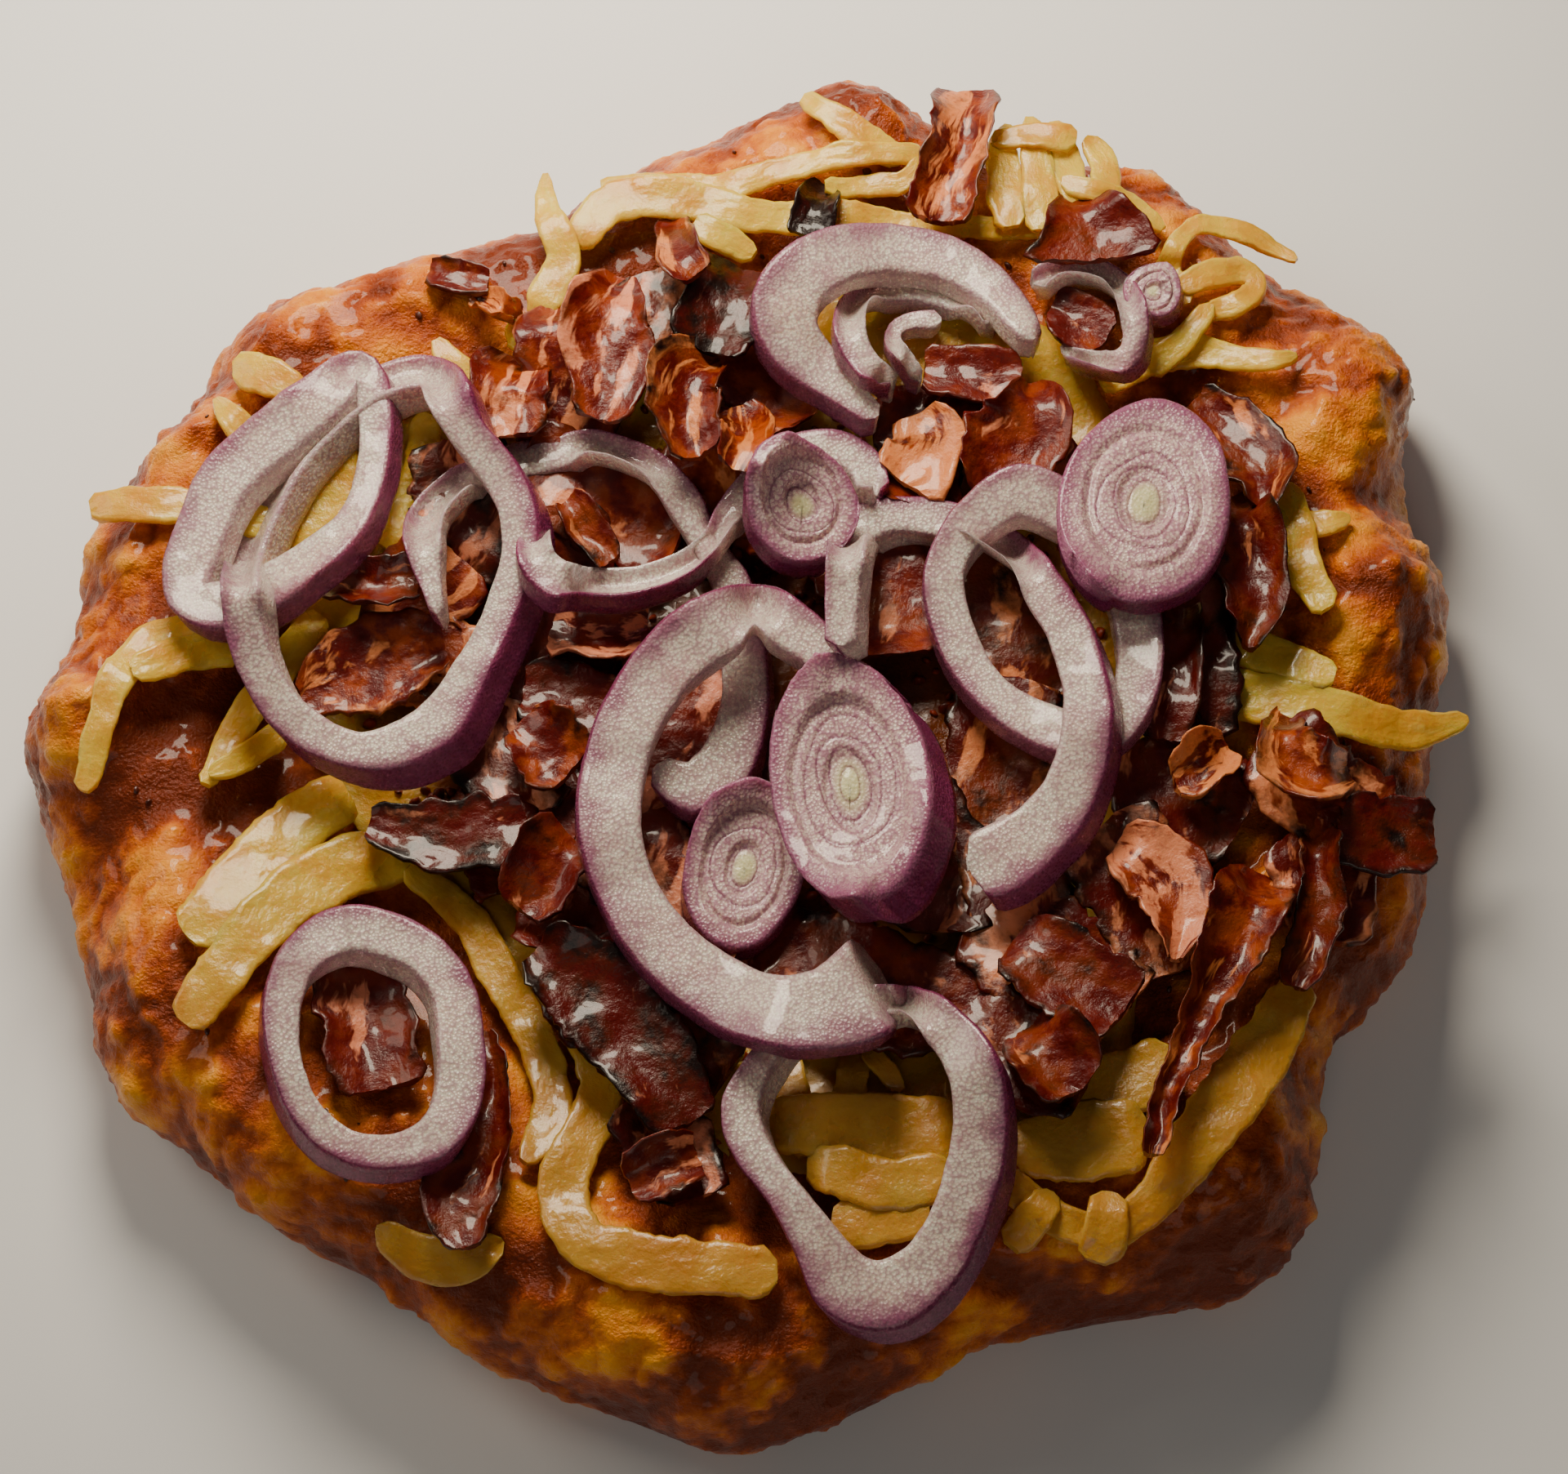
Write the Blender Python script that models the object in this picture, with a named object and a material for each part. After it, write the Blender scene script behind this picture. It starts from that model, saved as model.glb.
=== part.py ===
"""Langos: a fried flatbread with grated cheese, pieces of fried bacon and rings of red onion.

The bread rests on its flat underside, with the origin under the middle of it and +Z up. The toppings
are laid down one after another, each one sagging onto whatever already lies under it.
"""

import math

import bpy
import numpy as np
from mathutils import Vector, noise
from mathutils.bvhtree import BVHTree

MM = 0.001

# The toppings were placed by eye on a picture of the food. One millimetre is ten picture units
# there, at the point that the viewer looks at, and the line of sight comes down at a steep slant.
UNITS_PER_MM = 10.0
PICTURE_MIDDLE = (960.0, 902.5)
LOOKED_AT = (6.0, -1.1, 16.0)
SLANT = math.radians(68.0)
VIEWER_AWAY = 550.0

# Bread, in millimetres and degrees
BREAD_RADIUS = 84.5
SECTORS = 88
# Swellings and notches of the rim: direction, how far it reaches out, how many degrees it spreads
RIM_LOBES = (
    (30, 10.0, 6), (46, 9.5, 21), (82, 7.5, 10), (117, -10.0, 20), (158, 1.5, 8), (181, 4.5, 6),
    (209, 3.5, 6), (238, -3.5, 12), (270, 4.5, 9), (291, -3.5, 6), (313, 8.5, 9), (331, -2.5, 5),
    (6, 3.0, 9), (345, 3.0, 8), (14, 4.5, 7), (35, 2.5, 8), (57, 4.5, 7), (80, 3.5, 6), (102, 2.5, 5),
    (121, 2.5, 5), (135, 6.0, 7), (318, 2.0, 5),
)
# The crust from its middle out over the rim and back under: share of the radius, height
CRUST_PROFILE = (
    (0.14, 14.5), (0.30, 14.5), (0.45, 15.0), (0.58, 16.5), (0.68, 19.0), (0.77, 21.5), (0.85, 22.5),
    (0.91, 21.0), (0.955, 17.5), (0.985, 13.5), (1.0, 9.0), (0.985, 5.0), (0.945, 2.0), (0.90, 0.5),
)
FOOT_SHARE = 0.86
# Blisters and hollows of the crust, in picture units: where, how wide, and how high in millimetres
BLISTERS = (
    (1700, 730, 75, 6.0), (1690, 480, 95, 4.5), (1480, 235, 60, 3.5), (1065, 130, 55, 4.5),
    (870, 185, 30, 3.0), (480, 340, 60, 5.0), (345, 410, 50, 3.5), (225, 535, 45, 4.5),
    (70, 870, 75, 5.5), (150, 650, 60, 2.5), (115, 1060, 80, -3.5), (190, 1190, 45, 2.5),
    (1550, 1430, 110, 4.0), (820, 1650, 100, 2.0), (1640, 1250, 60, -2.5), (1620, 370, 45, 2.5),
    (1620, 1000, 60, -2.0), (620, 290, 55, 3.5), (300, 1400, 80, 1.5), (1300, 1590, 60, -1.5),
)
CRUST_UNEVEN = 0.9
CRUST_GRAIN = 17.0

# Laying down
GAP = 0.35
CELL = 0.8
REACH = 100.0
LAY_STEPS = 360
LIFT_STEP = 0.2
SHRED_SAG = 0.6
BACON_SAG = 0.12
ONION_SAG = 0.10
SLICE_SAG = 0.05

# Toppings, in millimetres
BACON_THICK = 2.0
BACON_SUNK = 1.2
CHEESE_SUNK = 0.9
JOINED_EVERY = 6.4
STAGGER = 0.11
UNDERCUT = 0.88
SHRED_THICK = 2.2
MELT_THICK = 2.4
STATION_EVERY = 4.6
BACON_EVERY = 3.6

# Melted cheese under the toppings: its outline, in picture units
MELT_OUTLINE = (
    (1000, 330), (1200, 350), (1350, 420), (1420, 600), (1480, 800), (1460, 1000), (1420, 1240),
    (1370, 1410), (1200, 1480), (1010, 1490), (870, 1400), (700, 1270), (560, 1130), (450, 1030),
    (380, 900), (310, 740), (335, 610), (450, 515), (620, 425), (800, 360),
)

# Grated cheese. Each shred's route has points of (across, down, width) in picture units.
SHREDS = (
    ((980, 118, 22), (1020, 140, 34), (1060, 170, 42), (1105, 192, 28)),
    ((735, 225, 20), (800, 222, 30), (880, 225, 34), (960, 205, 30), (1040, 185, 28), (1130, 188, 24)),
    ((705, 300, 36), (735, 255, 50), (790, 238, 52), (860, 245, 48), (930, 262, 40), (1045, 268, 40)),
    ((668, 212, 14), (672, 260, 36), (690, 310, 44), (668, 360, 46), (655, 400, 24)),
    ((850, 270, 30), (885, 290, 36), (925, 312, 24)),
    ((1010, 225, 24), (1060, 225, 26), (1110, 218, 24), (1124, 192, 16)),
    ((1005, 258, 44), (1080, 268, 32), (1150, 272, 26), (1230, 275, 26), (1300, 278, 22)),
    ((1232, 150, 22), (1228, 205, 44), (1238, 275, 40)),
    ((1262, 140, 24), (1272, 205, 44), (1275, 280, 44)),
    ((1292, 148, 26), (1304, 195, 40), (1318, 245, 30)),
    ((1330, 172, 24), (1352, 196, 40), (1350, 240, 34), (1322, 268, 30)),
    ((1215, 172, 20), (1262, 162, 32), (1318, 170, 32)),
    ((1300, 222, 22), (1345, 232, 26), (1385, 250, 30), (1425, 278, 18)),
    ((1450, 372, 28), (1432, 330, 28), (1445, 292, 26), (1480, 273, 26), (1530, 286, 26), (1588, 318, 12)),
    ((1440, 348, 28), (1490, 330, 34), (1535, 335, 36), (1525, 365, 34), (1475, 380, 24)),
    ((1350, 470, 30), (1430, 430, 44), (1490, 432, 34), (1545, 440, 26), (1590, 434, 12)),
    ((1482, 372, 22), (1455, 410, 32), (1405, 450, 36)),
    ((1430, 655, 40), (1520, 640, 40), (1575, 640, 46), (1615, 640, 36), (1655, 634, 16)),
    ((1578, 590, 26), (1582, 640, 50), (1596, 690, 48), (1625, 745, 38)),
    ((1450, 775, 46), (1540, 795, 48), (1635, 830, 38)),
    ((1450, 842, 56), (1560, 855, 62), (1650, 875, 54), (1730, 893, 48), (1796, 880, 18)),
    ((112, 622, 38), (160, 615, 44), (240, 620, 40), (330, 640, 40)),
    ((285, 452, 44), (325, 458, 50), (380, 490, 34), (440, 530, 34)),
    ((262, 486, 18), (295, 525, 40), (340, 570, 40)),
    ((102, 966, 30), (120, 900, 36), (140, 832, 44), (180, 788, 44), (240, 765, 42), (350, 745, 40)),
    ((160, 820, 36), (210, 803, 44), (290, 790, 44)),
    ((250, 958, 24), (290, 890, 38), (340, 820, 44), (392, 750, 40)),
    ((255, 948, 18), (300, 925, 30), (350, 890, 28)),
    ((228, 1142, 60), (290, 1080, 74), (350, 1020, 76), (425, 965, 60)),
    ((225, 1252, 50), (270, 1190, 66), (330, 1120, 70), (410, 1065, 76), (500, 1050, 66)),
    ((500, 1062, 30), (570, 1120, 46), (610, 1190, 48), (655, 1270, 50), (676, 1340, 48), (664, 1390, 44),
     (640, 1420, 26)),
    ((690, 1230, 40), (735, 1310, 56), (720, 1380, 60), (690, 1440, 62), (705, 1510, 64), (770, 1540, 70),
     (850, 1550, 72), (950, 1555, 60)),
    ((960, 1290, 36), (975, 1360, 44), (985, 1415, 28)),
    ((1048, 1290, 36), (1038, 1350, 44), (1010, 1408, 34)),
    ((1060, 1280, 26), (1080, 1305, 26), (1102, 1336, 16)),
    ((940, 1375, 70), (1050, 1378, 84), (1180, 1385, 84)),
    ((985, 1455, 90), (1080, 1465, 110), (1170, 1450, 90)),
    ((1230, 1440, 40), (1290, 1490, 44), (1350, 1506, 46), (1402, 1480, 50), (1450, 1420, 68), (1510, 1340, 80),
     (1560, 1262, 70), (1594, 1198, 50)),
    ((1238, 1525, 44), (1262, 1495, 46), (1290, 1460, 40)),
    ((1342, 1545, 54), (1352, 1510, 56), (1360, 1460, 50)),
    ((1322, 1100, 16), (1312, 1180, 32), (1298, 1238, 16)),
    ((1264, 1100, 50), (1256, 1180, 60), (1246, 1255, 50)),
    ((395, 505, 50), (405, 600, 84), (390, 680, 80), (335, 725, 60)),
    ((520, 505, 36), (512, 590, 50), (470, 670, 64)),
    ((680, 500, 60), (710, 560, 46), (735, 620, 48), (758, 678, 24)),
    ((535, 415, 26), (560, 448, 34), (600, 480, 28)),
    ((618, 412, 40), (655, 405, 40), (690, 420, 30)),
    ((1240, 1405, 66), (1320, 1398, 100), (1405, 1385, 84)),
    ((1300, 1330, 60), (1380, 1325, 84), (1440, 1290, 60)),
)
SHRED_ALONE = ((460, 1505, 34), (510, 1535, 50), (570, 1545, 48), (615, 1520, 28))

# Bacon that the rest of the heap lies on: routes as for the shreds
BACON_BED = (
    ((690, 372, 90), (700, 450, 130), (690, 580, 100)),
    ((800, 330, 80), (815, 400, 120), (800, 470, 110)),
    ((840, 385, 80), (930, 450, 110), (970, 520, 80)),
    ((560, 540, 90), (570, 620, 130), (545, 700, 120)),
    ((640, 560, 80), (740, 610, 140), (830, 660, 110)),
    ((560, 680, 100), (500, 760, 130), (560, 840, 110)),
    ((690, 620, 90), (690, 780, 130), (675, 960, 110)),
    ((820, 760, 110), (860, 870, 150), (830, 1010, 130)),
    ((640, 960, 100), (690, 1060, 140), (690, 1160, 110)),
    ((560, 970, 80), (610, 1030, 120), (640, 1080, 90)),
    ((770, 1000, 120), (800, 1110, 150), (860, 1200, 120)),
    ((700, 1180, 110), (790, 1260, 150), (880, 1330, 110)),
    ((780, 1340, 90), (830, 1410, 110), (850, 1470, 70)),
    ((860, 1130, 110), (1000, 1190, 150), (1200, 1240, 110)),
    ((1030, 640, 110), (1080, 720, 140), (1090, 800, 110)),
    ((1180, 460, 80), (1240, 540, 130), (1280, 620, 100)),
    ((1120, 470, 70), (1130, 550, 110), (1120, 620, 90)),
    ((1190, 680, 110), (1240, 770, 150), (1260, 860, 120)),
    ((1430, 700, 110), (1450, 800, 140), (1450, 900, 120)),
    ((1400, 900, 120), (1450, 970, 150), (1520, 1010, 110)),
    ((1240, 830, 100), (1220, 970, 140), (1260, 1130, 110)),
    ((1210, 1110, 110), (1290, 1180, 160), (1370, 1250, 130)),
    ((1350, 1010, 110), (1410, 1100, 150), (1440, 1190, 120)),
    ((1190, 1230, 80), (1250, 1290, 120), (1330, 1330, 90)),
    ((1560, 900, 90), (1620, 970, 130), (1690, 1010, 100)),
    ((1590, 1010, 90), (1630, 1080, 120), (1620, 1150, 80)),
    ((590, 870, 80), (615, 930, 120), (650, 1000, 100)),
    ((1110, 970, 90), (1150, 1050, 130), (1150, 1140, 110)),
    ((850, 520, 80), (900, 590, 120), (960, 650, 100)),
)

# Bacon on top of that, from the bottom of the heap up: name, route, how far its edges and its far end curl up
BACON = (
    ("bacon_centre_under", ((640, 842, 60), (705, 860, 90), (780, 870, 70)), 0.3, 0.0),
    ("bacon_left_low", ((450, 1010, 40), (520, 1022, 80), (590, 1022, 92), (645, 1008, 70)), 0.8, 0.5),
    ("bacon_under_left", ((636, 1112, 60), (668, 1066, 90), (702, 1026, 70)), 0.5, 0.5),
    ("bacon_front_dark", ((655, 1165, 70), (725, 1215, 120), (790, 1290, 120), (840, 1375, 90)), 0.4, 0.0),
    ("bacon_front_bit", ((772, 1452, 44), (812, 1430, 72), (856, 1418, 50)), 0.5, 0.5),
    ("bacon_front_right", ((1245, 1150, 60), (1300, 1190, 110), (1375, 1240, 110)), 0.4, 0.0),
    ("bacon_dark_column", ((1446, 745, 50), (1442, 830, 60), (1428, 905, 60)), 0.3, 0.0),
    ("bacon_clear_fat", ((1438, 955, 44), (1475, 938, 70), (1506, 916, 40)), 0.5, 0.0),
    ("bacon_round_front", ((1252, 1256, 54), (1287, 1292, 106), (1322, 1332, 50)), 1.0, 0.0),
    ("bacon_pale_middle", ((1122, 506, 60), (1136, 545, 96), (1108, 590, 80)), 0.5, 0.0),
    ("bacon_under_arch", ((1132, 452, 40), (1190, 458, 70), (1248, 466, 50)), 0.4, 0.0),
    ("bacon_right_top", ((1262, 468, 34), (1264, 508, 108), (1236, 560, 126), (1200, 602, 80)), 0.6, 0.0),
    ("bacon_left_ring_low", ((372, 855, 50), (430, 826, 104), (500, 802, 100), (544, 790, 56)), 0.8, 0.8),
    ("bacon_left_ring_top", ((398, 706, 42), (450, 718, 64), (515, 714, 60)), 1.0, 0.5),
    ("bacon_orange_left", ((636, 888, 44), (668, 915, 92), (700, 946, 66)), 0.8, 1.0),
    ("bacon_centre_pale", ((676, 770, 50), (735, 776, 78), (796, 772, 50)), 0.4, 0.0),
    ("bacon_upright_chip", ((694, 612, 30), (720, 650, 44), (748, 688, 30)), 0.8, 1.0),
    ("bacon_left_top", ((762, 338, 50), (742, 395, 110), (748, 450, 108), (735, 512, 66)), 0.8, 1.0),
    ("bacon_char_top", ((902, 326, 104), (884, 370, 100), (866, 428, 86)), 0.6, 1.2),
    ("bacon_orange_tip", ((820, 266, 16), (828, 300, 48), (852, 336, 56)), 0.6, 1.0),
    ("bacon_curl_middle", ((878, 440, 60), (838, 466, 96), (842, 515, 90), (856, 556, 56)), 1.2, 1.0),
    ("bacon_orange_middle", ((902, 498, 46), (914, 534, 70), (902, 572, 46)), 0.5, 0.4),
    ("bacon_left_centre", ((636, 438, 84), (624, 482, 98), (628, 534, 46)), 0.8, 0.8),
    ("bacon_bit_far_left", ((526, 330, 28), (560, 340, 44), (598, 346, 30)), 0.4, 0.4),
    ("bacon_fat_far_left", ((580, 362, 24), (606, 378, 40), (636, 396, 20)), 0.4, 0.4),
    ("bacon_in_small_ring", ((1288, 374, 46), (1324, 394, 70), (1352, 416, 46)), 0.5, 0.3),
    ("bacon_point_top", ((1328, 216, 14), (1326, 246, 72), (1334, 276, 122), (1338, 316, 172)), 0.8, 1.2),
    ("bacon_strip_top", ((1182, 112, 86), (1178, 165, 72), (1162, 215, 78), (1152, 270, 82)), 0.8, 1.2),
    ("bacon_burnt_bit", ((1010, 226, 40), (998, 256, 56), (986, 288, 38)), 0.5, 0.8),
    ("bacon_right_upper", ((1462, 488, 44), (1508, 530, 80), (1546, 576, 82), (1548, 622, 40)), 0.8, 1.2),
    ("bacon_right_dark", ((1512, 606, 44), (1530, 660, 84), (1536, 725, 88), (1530, 792, 34)), 1.0, 0.8),
    ("bacon_right_edge", ((1640, 1012, 74), (1695, 1026, 100), (1758, 1026, 66)), 0.6, 0.8),
    ("bacon_curl_right", ((1576, 866, 26), (1570, 915, 78), (1608, 950, 88), (1654, 948, 56)), 1.4, 1.0),
    ("bacon_strip_right", ((1612, 1008, 40), (1616, 1078, 46), (1608, 1142, 62), (1584, 1208, 42)), 0.8, 0.6),
    ("bacon_pointed_right", ((1368, 1034, 60), (1424, 1070, 108), (1446, 1125, 78), (1440, 1174, 24)), 0.8, 1.0),
    ("bacon_long_twist", ((1548, 1072, 92), (1512, 1150, 88), (1480, 1222, 58), (1450, 1290, 40),
                          (1426, 1350, 38), (1412, 1414, 28)), 0.8, 1.5),
    ("bacon_front_tail", ((596, 1262, 26), (606, 1350, 40), (592, 1420, 60), (562, 1472, 96), (572, 1526, 48)),
     0.4, 0.4),
    ("bacon_in_front_ring", ((430, 1180, 76), (450, 1250, 118), (470, 1332, 104)), 0.8, 0.4),
)

# Onion rings, from the bottom up: name, closed or not, route, thickness, how the top leans off its foot
ONION_RINGS = (
    ("onion_arc_top_outer", False, ((1074, 510, 26), (1025, 466, 50), (975, 420, 72), (962, 375, 84), (985, 330, 74),
     (1035, 306, 66), (1100, 302, 60), (1165, 314, 54), (1215, 345, 48), (1252, 388, 40), (1268, 414, 28)),
     3.2, (0.4, 0.9)),
    ("onion_arc_top_middle", False, ((1094, 480, 32), (1056, 436, 38), (1040, 402, 42), (1051, 373, 38),
     (1086, 354, 34), (1130, 352, 34), (1180, 368, 34), (1218, 398, 32)), 3.0, (0.3, 0.5)),
    ("onion_arc_top_inner", False, ((1126, 468, 22), (1098, 434, 24), (1094, 404, 24), (1116, 390, 22),
     (1152, 390, 22)), 2.8, (0.2, 0.3)),
    ("onion_ring_left_under", True, ((440, 452, 54), (344, 520, 62), (272, 585, 64), (236, 668, 62), (228, 728, 60),
     (280, 738, 64), (352, 700, 56), (428, 638, 42), (454, 570, 38), (458, 505, 42)), 3.6, (-1.4, 0.8)),
    ("onion_ring_right_under", True, ((1156, 726, 52), (1178, 795, 50), (1215, 846, 48), (1270, 882, 54),
     (1340, 900, 58), (1386, 856, 58), (1396, 780, 58), (1374, 700, 58), (1320, 630, 58), (1252, 598, 60),
     (1196, 630, 54), (1162, 676, 50)), 3.4, (0.0, 0.6)),
    ("onion_ring_front", True, ((928, 1300, 34), (904, 1355, 50), (918, 1405, 48), (955, 1456, 44), (996, 1515, 58),
     (1030, 1568, 82), (1080, 1585, 88), (1134, 1552, 76), (1172, 1488, 70), (1194, 1420, 72), (1198, 1350, 68),
     (1182, 1290, 60), (1142, 1246, 50), (1090, 1228, 44), (1030, 1228, 42), (968, 1250, 38)), 4.0, (-1.6, 0.9)),
    ("onion_ring_front_left", True, ((430, 1134, 60), (500, 1152, 57), (548, 1194, 55), (565, 1258, 58),
     (564, 1330, 60), (538, 1386, 60), (480, 1408, 46), (420, 1398, 43), (373, 1354, 41), (349, 1290, 41),
     (346, 1225, 48), (370, 1165, 54)), 4.0, (1.0, 1.0)),
    ("onion_ring_small_top", False, ((1262, 352, 34), (1300, 336, 34), (1345, 341, 36), (1376, 366, 36),
     (1390, 400, 34), (1382, 431, 32), (1350, 449, 28), (1316, 443, 22), (1298, 425, 14)), 3.0, (-0.9, 0.3)),
    ("onion_ring_big_left", True, ((530, 466, 66), (570, 525, 46), (624, 600, 50), (634, 668, 46), (614, 740, 42),
     (582, 806, 46), (534, 882, 62), (448, 917, 50), (363, 882, 50), (308, 808, 48), (292, 730, 48), (309, 662, 50),
     (350, 580, 48), (410, 515, 50), (466, 476, 58)), 4.6, (-2.2, 1.4)),
    ("onion_ring_arch", False, ((536, 752, 16), (526, 712, 28), (519, 680, 42), (518, 650, 52), (540, 615, 48),
     (585, 580, 44), (630, 563, 43), (682, 552, 43), (735, 552, 44), (790, 572, 46), (830, 604, 45),
     (862, 652, 44), (890, 702, 48), (905, 760, 52), (912, 820, 58), (908, 880, 60), (884, 938, 70),
     (842, 962, 68), (802, 940, 34)), 3.4, (-0.7, 0.4)),
    ("onion_ring_twisted", False, ((662, 634, 28), (656, 680, 48), (690, 712, 50), (736, 722, 52), (790, 718, 50),
     (843, 696, 42), (876, 664, 32), (896, 624, 36), (932, 581, 42), (977, 551, 44), (1026, 546, 45),
     (1061, 568, 45), (1073, 606, 40)), 3.2, (0.2, 1.3)),
    ("onion_ring_centre", False, ((1024, 816, 42), (985, 776, 58), (930, 750, 70), (868, 768, 73), (812, 815, 76),
     (770, 880, 78), (750, 950, 79), (746, 1012, 79), (765, 1080, 77), (800, 1140, 79), (852, 1190, 84),
     (925, 1230, 92), (1005, 1236, 106), (1085, 1202, 132)), 3.4, (0.2, 0.2)),
    ("onion_ring_right", False, ((1028, 790, 40), (1030, 710, 44), (1042, 652, 52), (1085, 628, 46), (1145, 632, 47),
     (1200, 655, 49), (1256, 696, 52), (1300, 756, 54), (1326, 825, 56), (1329, 895, 63), (1313, 958, 70),
     (1276, 1012, 78), (1228, 1048, 88), (1188, 1062, 84)), 3.6, (-1.6, 0.7)),
)

# Onion slices, solid to the middle: name, middle, half width and half height, turn in degrees, thickness, lean
ONION_SLICES = (
    ("onion_bit_top_right", (1412, 358), (36, 34), 20, 2.6, (-0.4, 0.3)),
    ("onion_slice_under_twist", (982, 620), (68, 68), 0, 3.0, (0.5, 0.5)),
    ("onion_slice_under_centre", (912, 1062), (72, 106), 14, 3.0, (0.3, 0.5)),
    ("onion_slice_right", (1402, 615), (105, 132), 6, 3.2, (-0.2, 0.3)),
    ("onion_slice_centre", (1040, 960), (100, 158), -8, 4.2, (-3.0, 1.8)),
)
# What order the onion comes in, from the bottom of the heap up
ONION_ORDER = (
    "onion_arc_top_outer", "onion_arc_top_middle", "onion_arc_top_inner", "onion_bit_top_right",
    "onion_ring_left_under", "onion_slice_under_twist", "onion_ring_right_under", "onion_ring_front",
    "onion_ring_front_left", "onion_ring_small_top", "onion_ring_big_left", "onion_ring_arch",
    "onion_ring_twisted", "onion_slice_under_centre", "onion_ring_centre", "onion_ring_right",
    "onion_slice_right", "onion_slice_centre",
)
SLICE_RINGS = ((1.0, 0.0), (0.74, 0.15), (0.66, -0.35), (0.60, 0.2), (0.34, 0.2), (0.28, -0.3))

COLOURS = {
    "crust": ((0.50, 0.20, 0.045), 0.45),
    "cheese": ((0.84, 0.66, 0.22), 0.4),
    "bacon": ((0.35, 0.07, 0.025), 0.3),
    "onion": ((0.80, 0.66, 0.66), 0.3),
}


def laid(across, down, height):
    """Drops a place in the picture to a level that many millimetres above the table."""
    right = (across - PICTURE_MIDDLE[0]) / UNITS_PER_MM
    up = (PICTURE_MIDDLE[1] - down) / UNITS_PER_MM
    rise = height - LOOKED_AT[2]
    sine = math.sin(SLANT)
    cosine = math.cos(SLANT)
    back = up * VIEWER_AWAY - up * rise * sine - VIEWER_AWAY * rise * cosine
    back /= VIEWER_AWAY * sine - up * cosine
    depth = VIEWER_AWAY + back * cosine - rise * sine
    return right * depth / VIEWER_AWAY + LOOKED_AT[0], back + LOOKED_AT[1]


def smooth_route(points, closed, count):
    """`count` even stations on a smooth curve through the points, with every column carried along."""
    points = np.array(points, float)
    if closed:
        padded = np.vstack([points[-1:], points, points[:2]])
    else:
        padded = np.vstack([2 * points[0] - points[1], points, 2 * points[-1] - points[-2]])
    fine = []
    spans = len(padded) - 3
    for i in range(spans):
        a, b, c, d = padded[i:i + 4]
        for t in np.linspace(0, 1, 12, endpoint=i == spans - 1):
            fine.append(
                0.5 * (2 * b + (c - a) * t + (2 * a - 5 * b + 4 * c - d) * t**2 + (3 * b - a - 3 * c + d) * t**3)
            )
    fine = np.array(fine)
    steps = np.hypot(*np.diff(fine[:, :2], axis=0).T)
    travelled = np.concatenate([[0], np.cumsum(steps)])
    wanted = np.linspace(0, travelled[-1], count, endpoint=not closed)
    return np.stack([np.interp(wanted, travelled, column) for column in fine.T], axis=1)


def route_length(points, closed):
    """Length of a route in millimetres, as the picture shows it."""
    points = np.array(points, float)[:, :2]
    if closed:
        points = np.vstack([points, points[:1]])
    return np.hypot(*np.diff(points, axis=0).T).sum() / UNITS_PER_MM


def unit_normals(stations, closed):
    """Sideways unit vectors of a route in the picture."""
    places = stations[:, :2]
    if closed:
        along = np.roll(places, -1, axis=0) - np.roll(places, 1, axis=0)
    else:
        along = np.gradient(places, axis=0)
    along /= np.linalg.norm(along, axis=1)[:, None]
    return np.stack([-along[:, 1], along[:, 0]], axis=1)


class Heap:
    """What already lies on the table: a map of its heights, and its surface for the overlap test."""

    def __init__(self):
        self.count = int(2 * REACH / CELL)
        self.heights = np.zeros((self.count, self.count))
        self.points = []
        self.faces = []
        self.tree = None

    def cell(self, values):
        return np.clip(np.round((np.asarray(values) + REACH) / CELL).astype(int), 1, self.count - 2)

    def support(self, plan, near=1):
        """Highest thing under each place, looking `near` cells to each side."""
        column = self.cell(plan[..., 0])
        row = self.cell(plan[..., 1])
        found = np.zeros(column.shape)
        for i in range(-near, near + 1):
            for j in range(-near, near + 1):
                rows = np.clip(row + i, 0, self.count - 1)
                columns = np.clip(column + j, 0, self.count - 1)
                found = np.maximum(found, self.heights[rows, columns])
        return found

    def add(self, points, faces):
        """Puts a piece on the heap: points in millimetres, faces as triangles or quads."""
        start = len(self.points)
        self.points += [tuple(p) for p in points]
        self.faces += [tuple(start + i for i in face) for face in faces]
        self.tree = BVHTree.FromPolygons(self.points, self.faces)
        self.map_heights(points, faces)

    def map_heights(self, points, faces):
        """Raises the map of heights to the top of a piece."""
        piece = BVHTree.FromPolygons([tuple(p) for p in points], faces)
        low = self.cell(points.min(axis=0)[:2] - CELL)
        high = self.cell(points.max(axis=0)[:2] + CELL)
        for column in range(low[0], high[0] + 1):
            for row in range(low[1], high[1] + 1):
                above = Vector((column * CELL - REACH, row * CELL - REACH, REACH))
                hit = piece.ray_cast(above, Vector((0, 0, -1)))[0]
                if hit is not None:
                    self.heights[row, column] = max(self.heights[row, column], hit.z)

    def touching(self, points, faces):
        """Indices of the faces of a piece that run into the heap."""
        piece = BVHTree.FromPolygons([tuple(p) for p in points], faces)
        return sorted({pair[0] for pair in piece.overlap(self.tree)})


def sagged(floor, closed, sag):
    """Heights of a limp grid of places that settles from above onto `floor`."""
    height = np.full(floor.shape, floor.max())
    for _ in range(LAY_STEPS):
        before = np.roll(height, 1, axis=0)
        after = np.roll(height, -1, axis=0)
        if not closed:
            before[0] = height[0]
            after[-1] = height[-1]
        along = (before + after) / 2
        across = height.mean(axis=1, keepdims=True)
        height = np.maximum(floor, 0.75 * along + 0.25 * across - sag)
    return height


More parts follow.
